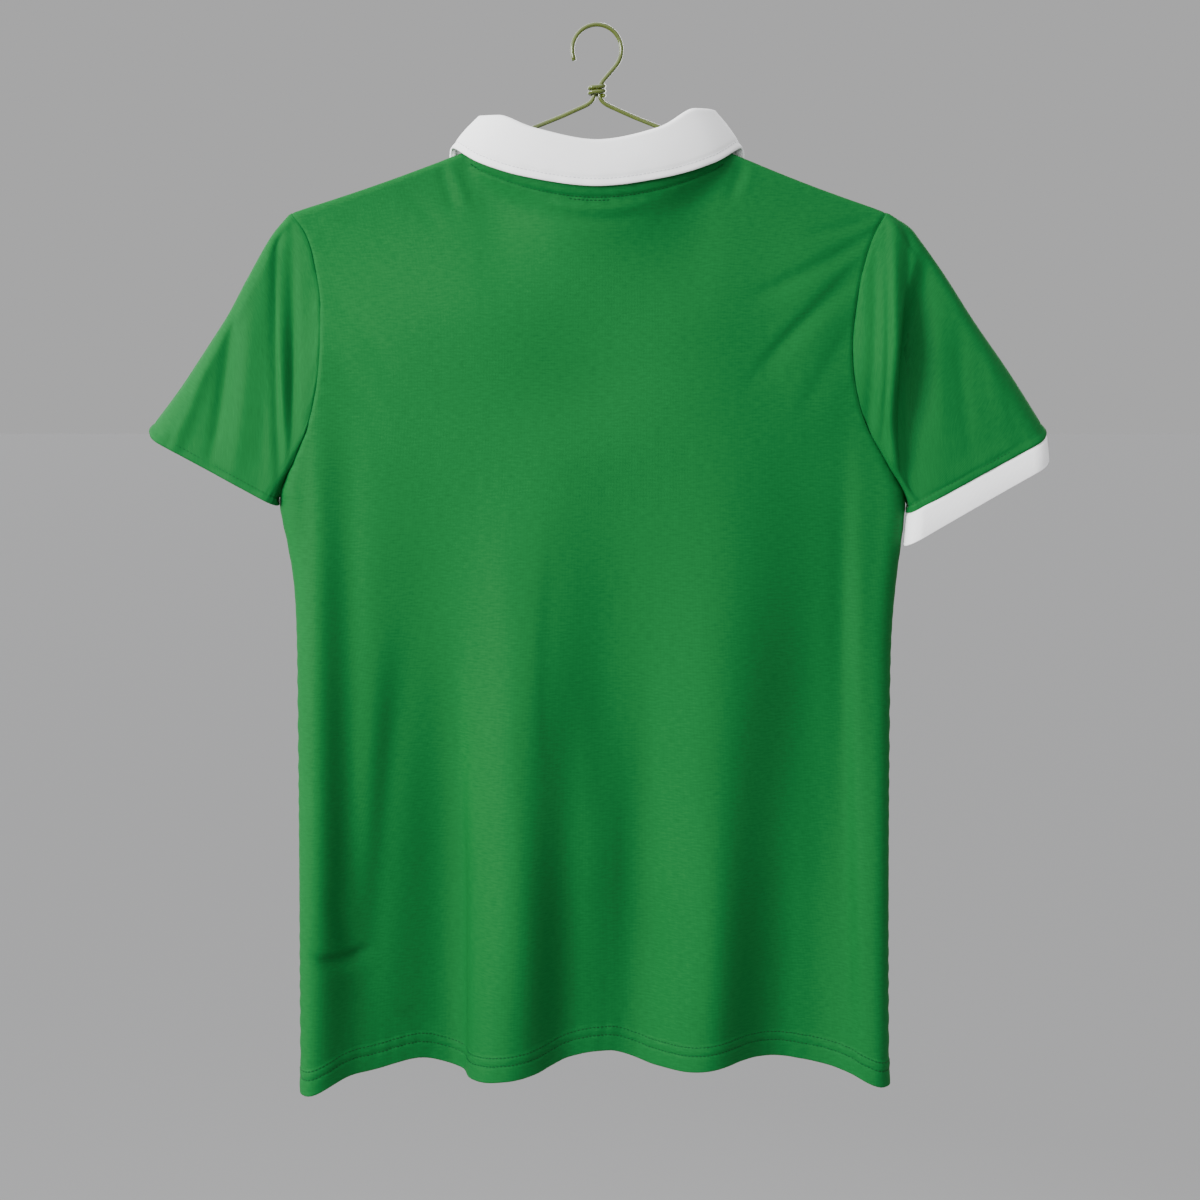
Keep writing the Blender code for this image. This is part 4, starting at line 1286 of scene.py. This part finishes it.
def wire_piece(name, points, finish, node, thickness=WIRE):
    """A round wire through a row of points, its corners eased and its two ends closed."""
    deselect()
    bpy.ops.curve.primitive_nurbs_path_add()
    line = bpy.context.object
    line.name = name
    curve = line.data
    curve.splines.clear()
    spline = curve.splines.new("NURBS")
    spline.points.add(len(points) - 1)
    for place, (x, y, z) in zip(spline.points, points):
        place.co = (x * MM, y * MM, z * MM, 1.0)
    spline.use_endpoint_u = True
    spline.order_u = 4
    spline.resolution_u = 4
    curve.bevel_depth = thickness / 2 * MM
    curve.bevel_resolution = 4
    curve.use_fill_caps = True
    bpy.ops.object.convert(target="MESH")
    made = bpy.context.object
    made.data.name = name
    bpy.ops.object.mode_set(mode="EDIT")
    bpy.ops.mesh.select_all(action="SELECT")
    bpy.ops.mesh.remove_doubles(threshold=1e-6)
    bpy.ops.mesh.normals_make_consistent(inside=False)
    bpy.ops.object.mode_set(mode="OBJECT")
    made.data.materials.clear()
    made.data.materials.append(finish)
    made.data.shade_smooth()
    dress(made, "olive_wire", node)


def dense(points, step):
    """The same route with points at an even step, so that a smooth curve keeps to its corners."""
    points = np.array(points, float)
    run = distances(points)
    return at_distance(np.linspace(0.0, run[-1], int(run[-1] / step) + 1), run, points)


def hanger_pieces(finish):
    route = hook() + hanger_arm(RIGHT) + hanger_arm(LEFT)[::-1]
    route = dense([(x, 0.0, z) for x, z in route], ROUTE_STEP)
    wire_piece("wire_hanger", route, finish, "hanger")
    coil = []
    for angle in np.radians(np.arange(*WINDING_TURN, WINDING_STEP)):
        shift = WIRES_APART * max(-1.0, min(1.0, 3 * math.cos(angle)))
        reach_x, reach_y = math.cos(angle) * WINDING_REACH, math.sin(angle) * WINDING_REACH
        rise = WINDING_START + angle / (2 * math.pi) * WINDING_PITCH
        coil.append((shift + reach_x, reach_y, HANGER_NECK_Z + rise))
    wire_piece("hanger_winding", coil, finish, "hanger_wrap", WINDING_WIRE)


# ================================================================ materials


def add_node(tree, kind, label, **settings):
    node = tree.nodes.new(kind)
    node.label = label
    for name, value in settings.items():
        setattr(node, name, value)
    return node


def fill(node, values):
    for name, value in values.items():
        node.inputs[name].default_value = value


def math_node(tree, operation, *values, label=""):
    """A Math node's result. Its inputs are numbers, or sockets to link."""
    node = add_node(tree, "ShaderNodeMath", label, operation=operation)
    for socket, value in zip(node.inputs, values):
        if isinstance(value, (int, float)):
            socket.default_value = value
        else:
            tree.links.new(value, socket)
    return node.outputs[0]


def noise_pattern(tree, label, place, detail):
    pattern = add_node(tree, "ShaderNodeTexNoise", label)
    pattern.inputs["Detail"].default_value = detail
    tree.links.new(place, pattern.inputs["Vector"])
    return pattern


def new_group(name, sizes, results, place=None):
    """An empty node group with numbers in, perhaps a place in, and numbers out."""
    tree = bpy.data.node_groups.new(name, "ShaderNodeTree")
    for label, value in sizes.items():
        socket = tree.interface.new_socket(label, in_out="INPUT", socket_type="NodeSocketFloat")
        socket.default_value = value
    if place:
        tree.interface.new_socket(place, in_out="INPUT", socket_type="NodeSocketVector")
    for label in results:
        tree.interface.new_socket(label, in_out="OUTPUT", socket_type="NodeSocketFloat")
    return (
        tree,
        add_node(tree, "NodeGroupInput", "sizes"),
        add_node(tree, "NodeGroupOutput", "patterns"),
    )


def knit_group():
    """Rows of knitted loops: their height, also used as painted shade, and streaks of uneven yarn.
    """
    sizes = {"Wale": 1.1, "Course": 0.85}
    tree, into, out = new_group("knitted_loops", sizes, ("Height", "Streak"), place="Place")
    parts = add_node(tree, "ShaderNodeSeparateXYZ", "across and down")
    tree.links.new(into.outputs["Place"], parts.inputs[0])
    wale = math_node(tree, "DIVIDE", parts.outputs[0], into.outputs["Wale"], label="wales")
    course = math_node(tree, "DIVIDE", parts.outputs[1], into.outputs["Course"], label="courses")
    legs = math_node(tree, "PINGPONG", wale, 0.5, label="each loop's two legs")
    leaning = math_node(tree, "MULTIPLY_ADD", legs, LOOP_LEAN, course, label="legs lean")
    loops = math_node(tree, "SINE", math_node(tree, "MULTIPLY", leaning, 2 * math.pi))
    loops = math_node(tree, "MULTIPLY_ADD", loops, 0.5, 0.5, label="loops")
    ribs = math_node(tree, "SINE", math_node(tree, "MULTIPLY", wale, math.pi))
    ribs = math_node(tree, "ABSOLUTE", ribs, label="ribs")
    dips = math_node(tree, "MULTIPLY_ADD", loops, LOOP_DIP, 1 - LOOP_DIP, label="dips")
    tree.links.new(math_node(tree, "MULTIPLY", ribs, dips), out.inputs["Height"])
    drawn = add_node(tree, "ShaderNodeMapping", "drawn out along the courses")
    drawn.inputs["Scale"].default_value = YARN_DRAWN
    tree.links.new(into.outputs["Place"], drawn.inputs["Vector"])
    streaks = noise_pattern(tree, "uneven yarn", drawn.outputs[0], 3.0)
    streaks.inputs["Scale"].default_value = 1.0
    tree.links.new(streaks.outputs["Fac"], out.inputs["Streak"])
    return tree


def mottle_group():
    """Slow changes in tone and a fine fibre grain."""
    sizes = {"Cloud Size": 9.0, "Grain Size": 900.0}
    tree, into, out = new_group("cloth_mottle", sizes, ("Cloud", "Grain"))
    place = add_node(tree, "ShaderNodeTexCoord", "place").outputs["Object"]
    for wanted, size, detail in (("Cloud", "Cloud Size", 3.0), ("Grain", "Grain Size", 2.0)):
        pattern = noise_pattern(tree, wanted, place, detail)
        tree.links.new(into.outputs[size], pattern.inputs["Scale"])
        tree.links.new(pattern.outputs["Fac"], out.inputs[wanted])
    return tree


def mix_colour(tree, factor, dark, light, label):
    node = add_node(tree, "ShaderNodeMix", label, data_type="RGBA")
    tree.links.new(factor, node.inputs["Factor"])
    sockets = [socket for socket in node.inputs if socket.type == "RGBA"]
    for socket, colour in zip(sockets, (dark, light)):
        socket.default_value = colour
    return next(socket for socket in node.outputs if socket.type == "RGBA")


def new_material(name):
    made = bpy.data.materials.new(name)
    made.use_nodes = True
    return made, made.node_tree, made.node_tree.nodes["Principled BSDF"]


def relief(tree, shader, height, label, strength, depth):
    """Fine relief on a surface, its depth in millimetres."""
    node = add_node(tree, "ShaderNodeBump", label)
    fill(node, {"Strength": strength, "Distance": depth * MM})
    tree.links.new(height, node.inputs["Height"])
    tree.links.new(node.outputs["Normal"], shader.inputs["Normal"])


def cloth(name, groups, deep, light, look):
    """Knitted cloth: two tones, knitted loops in relief and as painted shade, fibre grain and a soft
    sheen.
    """
    knit, mottle = groups
    made, tree, shader = new_material(name)
    flat = add_node(tree, "ShaderNodeUVMap", "the flat cloth", uv_map="cut")
    loops = add_node(tree, "ShaderNodeGroup", "knitted loops", node_tree=knit)
    fill(loops, {"Wale": look["wale"], "Course": look["course"]})
    tree.links.new(flat.outputs["UV"], loops.inputs["Place"])
    tones = add_node(tree, "ShaderNodeGroup", "mottle", node_tree=mottle)
    tone = look["tone"]
    # The loops' height lightens their tops and darkens the dips between them: painted shade. Grain,
    # cloud and streaks are the yarn's own uneven tone
    for pattern, share in (
        (tones.outputs["Grain"], "grain_tone"),
        (tones.outputs["Cloud"], "cloud_tone"),
        (loops.outputs["Streak"], "streak_tone"),
        (loops.outputs["Height"], "loop_shade"),
    ):
        tone = math_node(tree, "MULTIPLY_ADD", pattern, look[share], tone, label=share)
    tree.links.new(mix_colour(tree, tone, deep, light, "yarn"), shader.inputs["Base Color"])
    smoothest = look["roughness"] - 0.06
    gloss = math_node(
        tree, "MULTIPLY_ADD", tones.outputs["Cloud"], 0.12, smoothest, label="gloss"
    )
    tree.links.new(gloss, shader.inputs["Roughness"])
    height = loops.outputs["Height"]
    relief(tree, shader, height, "knitted relief", look["relief"], look["relief_depth"])
    fill(shader, {
        "Sheen Weight": look["sheen"],
        "Sheen Roughness": 0.4,
        "Sheen Tint": look["sheen_tint"],
        "Specular IOR Level": look["specular"],
    })
    return made


def thread(name, mottle, colour, roughness):
    """Sewing thread: one tone with a fine grain, darkened past the thread's own as painted shade."""
    made, tree, shader = new_material(name)
    tones = add_node(tree, "ShaderNodeGroup", "mottle", node_tree=mottle)
    lighter = tuple(min(1.0, value * 1.35) for value in colour[:3]) + (1.0,)
    mixed = mix_colour(tree, tones.outputs["Grain"], colour, lighter, "thread")
    tree.links.new(mixed, shader.inputs["Base Color"])
    fill(shader, {"Roughness": roughness, "Specular IOR Level": 0.1})
    return made


def coated_wire(mottle):
    """A glossy olive coating, thinner and darker in places."""
    made, tree, shader = new_material("olive_coated_wire")
    tones = add_node(tree, "ShaderNodeGroup", "mottle", node_tree=mottle)
    fill(tones, {"Cloud Size": 60.0, "Grain Size": 1500.0})
    cloud = tones.outputs["Cloud"]
    coating = mix_colour(tree, cloud, OLIVE_DARK, OLIVE, "coating")
    tree.links.new(coating, shader.inputs["Base Color"])
    gloss = math_node(tree, "MULTIPLY_ADD", cloud, 0.25, 0.08, label="gloss")
    tree.links.new(gloss, shader.inputs["Roughness"])
    relief(tree, shader, tones.outputs["Grain"], "orange peel", 0.15, 0.1)
    fill(shader, {"Coat Weight": 0.35, "Coat Roughness": 0.08})
    return made


# ================================================================ studio


def softbox(name, place, aim, power, size):
    light = bpy.data.lights.new(name, "AREA")
    light.energy = power
    light.size = size * MM
    made = bpy.data.objects.new(name, light)
    made.location = Vector(place) * MM
    away = Vector(place) - Vector(aim)
    made.rotation_euler = away.to_track_quat("Z", "Y").to_euler()
    bpy.context.scene.collection.objects.link(made)


def pale_room():
    """Soft light from all round, brighter from the upper left, and the wall seen behind."""
    world = bpy.data.worlds.new("pale_room")
    world.use_nodes = True
    tree = world.node_tree
    light = tree.nodes["Background"]
    way = add_node(tree, "ShaderNodeTexCoord", "which way")
    towards = add_node(
        tree, "ShaderNodeVectorMath", "towards the bright side", operation="DOT_PRODUCT"
    )
    towards.inputs[1].default_value = BRIGHT_FROM
    tree.links.new(way.outputs["Generated"], towards.inputs[0])
    share = add_node(tree, "ShaderNodeMapRange", "from the dim side to the bright side")
    fill(share, {"From Min": -ROOM_RAMP, "From Max": ROOM_RAMP})
    tree.links.new(towards.outputs["Value"], share.inputs["Value"])
    colour = mix_colour(tree, share.outputs[0], ROOM_DIM, ROOM_BRIGHT, "dim to bright")
    tree.links.new(colour, light.inputs["Color"])
    wall = add_node(tree, "ShaderNodeBackground", "wall")
    wall.inputs["Color"].default_value = ROOM_WALL
    seen = add_node(tree, "ShaderNodeLightPath", "seen directly")
    pick = add_node(tree, "ShaderNodeMixShader", "light or wall")
    sources = (seen.outputs["Is Camera Ray"], light.outputs[0], wall.outputs[0])
    for source, socket in zip(sources, pick.inputs):
        tree.links.new(source, socket)
    tree.links.new(pick.outputs[0], tree.nodes["World Output"].inputs["Surface"])
    bpy.context.scene.world = world


def pale_floor():
    deselect()
    bpy.ops.mesh.primitive_plane_add(size=FLOOR_SIZE, location=(0.0, 0.0, FLOOR_Z * MM))
    floor = bpy.context.object
    floor.name = "floor"
    bpy.ops.object.transform_apply(location=True, rotation=True, scale=True)
    finish, _, shader = new_material("pale_floor")
    fill(shader, {"Base Color": FLOOR, "Roughness": 0.95, "Specular IOR Level": 0.1})
    floor.data.materials.append(finish)


def studio():
    """The camera, the softboxes, the room round them and the floor below."""
    camera = bpy.data.cameras.new("camera")
    camera.lens = CAMERA_LENS
    camera.sensor_width = CAMERA_SENSOR
    view = bpy.data.objects.new("camera", camera)
    view.location = Vector(CAMERA_PLACE) * MM
    view.rotation_euler = (math.radians(CAMERA_TILT), 0.0, 0.0)
    bpy.context.scene.collection.objects.link(view)
    bpy.context.scene.camera = view
    for row in SOFTBOXES:
        softbox(*row)
    pale_room()
    pale_floor()


# ================================================================ everything


def main():
    groups = knit_group(), mottle_group()
    mottle = groups[1]
    green = cloth("green_knit", groups, GREEN_DEEP, GREEN_LIGHT, GREEN_LOOK)
    white = cloth("white_rib_knit", groups, WHITE_SHADE, WHITE, WHITE_LOOK)
    green_thread_shaded = thread("green_thread_shaded", mottle, GREEN_THREAD_SHADED, 0.5)
    white_thread_shaded = thread("white_thread_shaded", mottle, WHITE_THREAD_SHADED, 0.6)

    hanger_pieces(coated_wire(mottle))
    back = body_panel("jersey_back", "back_panel", BACK, green)
    front = body_panel("jersey_front", "front_panel", FRONT, green)
    left = sleeve_tube("jersey_sleeve_left", "sleeve_left", LEFT, green)
    right = sleeve_tube("jersey_sleeve_right", "sleeve_right", RIGHT, green)
    cuff = cuff_band(white)
    collar, leaf, leaf_out, leaf_width = collar_leaf(white)

    sewn = (
        ("back_hem_stitching", hem_runs(BACK)),
        ("front_hem_stitching", hem_runs(FRONT)),
        ("neck_stitching", neck_runs()),
        ("left_sleeve_stitching", sleeve_runs(LEFT)),
        ("right_sleeve_stitching", sleeve_runs(RIGHT)),
    )
    back_hem, front_hem, neck, left_hem, right_hem = (
        stitching(name, runs, green_thread_shaded, "green_cloth") for name, runs in sewn
    )
    collar_line = collar_runs(leaf, leaf_out, leaf_width)
    topstitch = stitching("collar_stitching", collar_line, white_thread_shaded, "white_cloth")

    studio()


main()
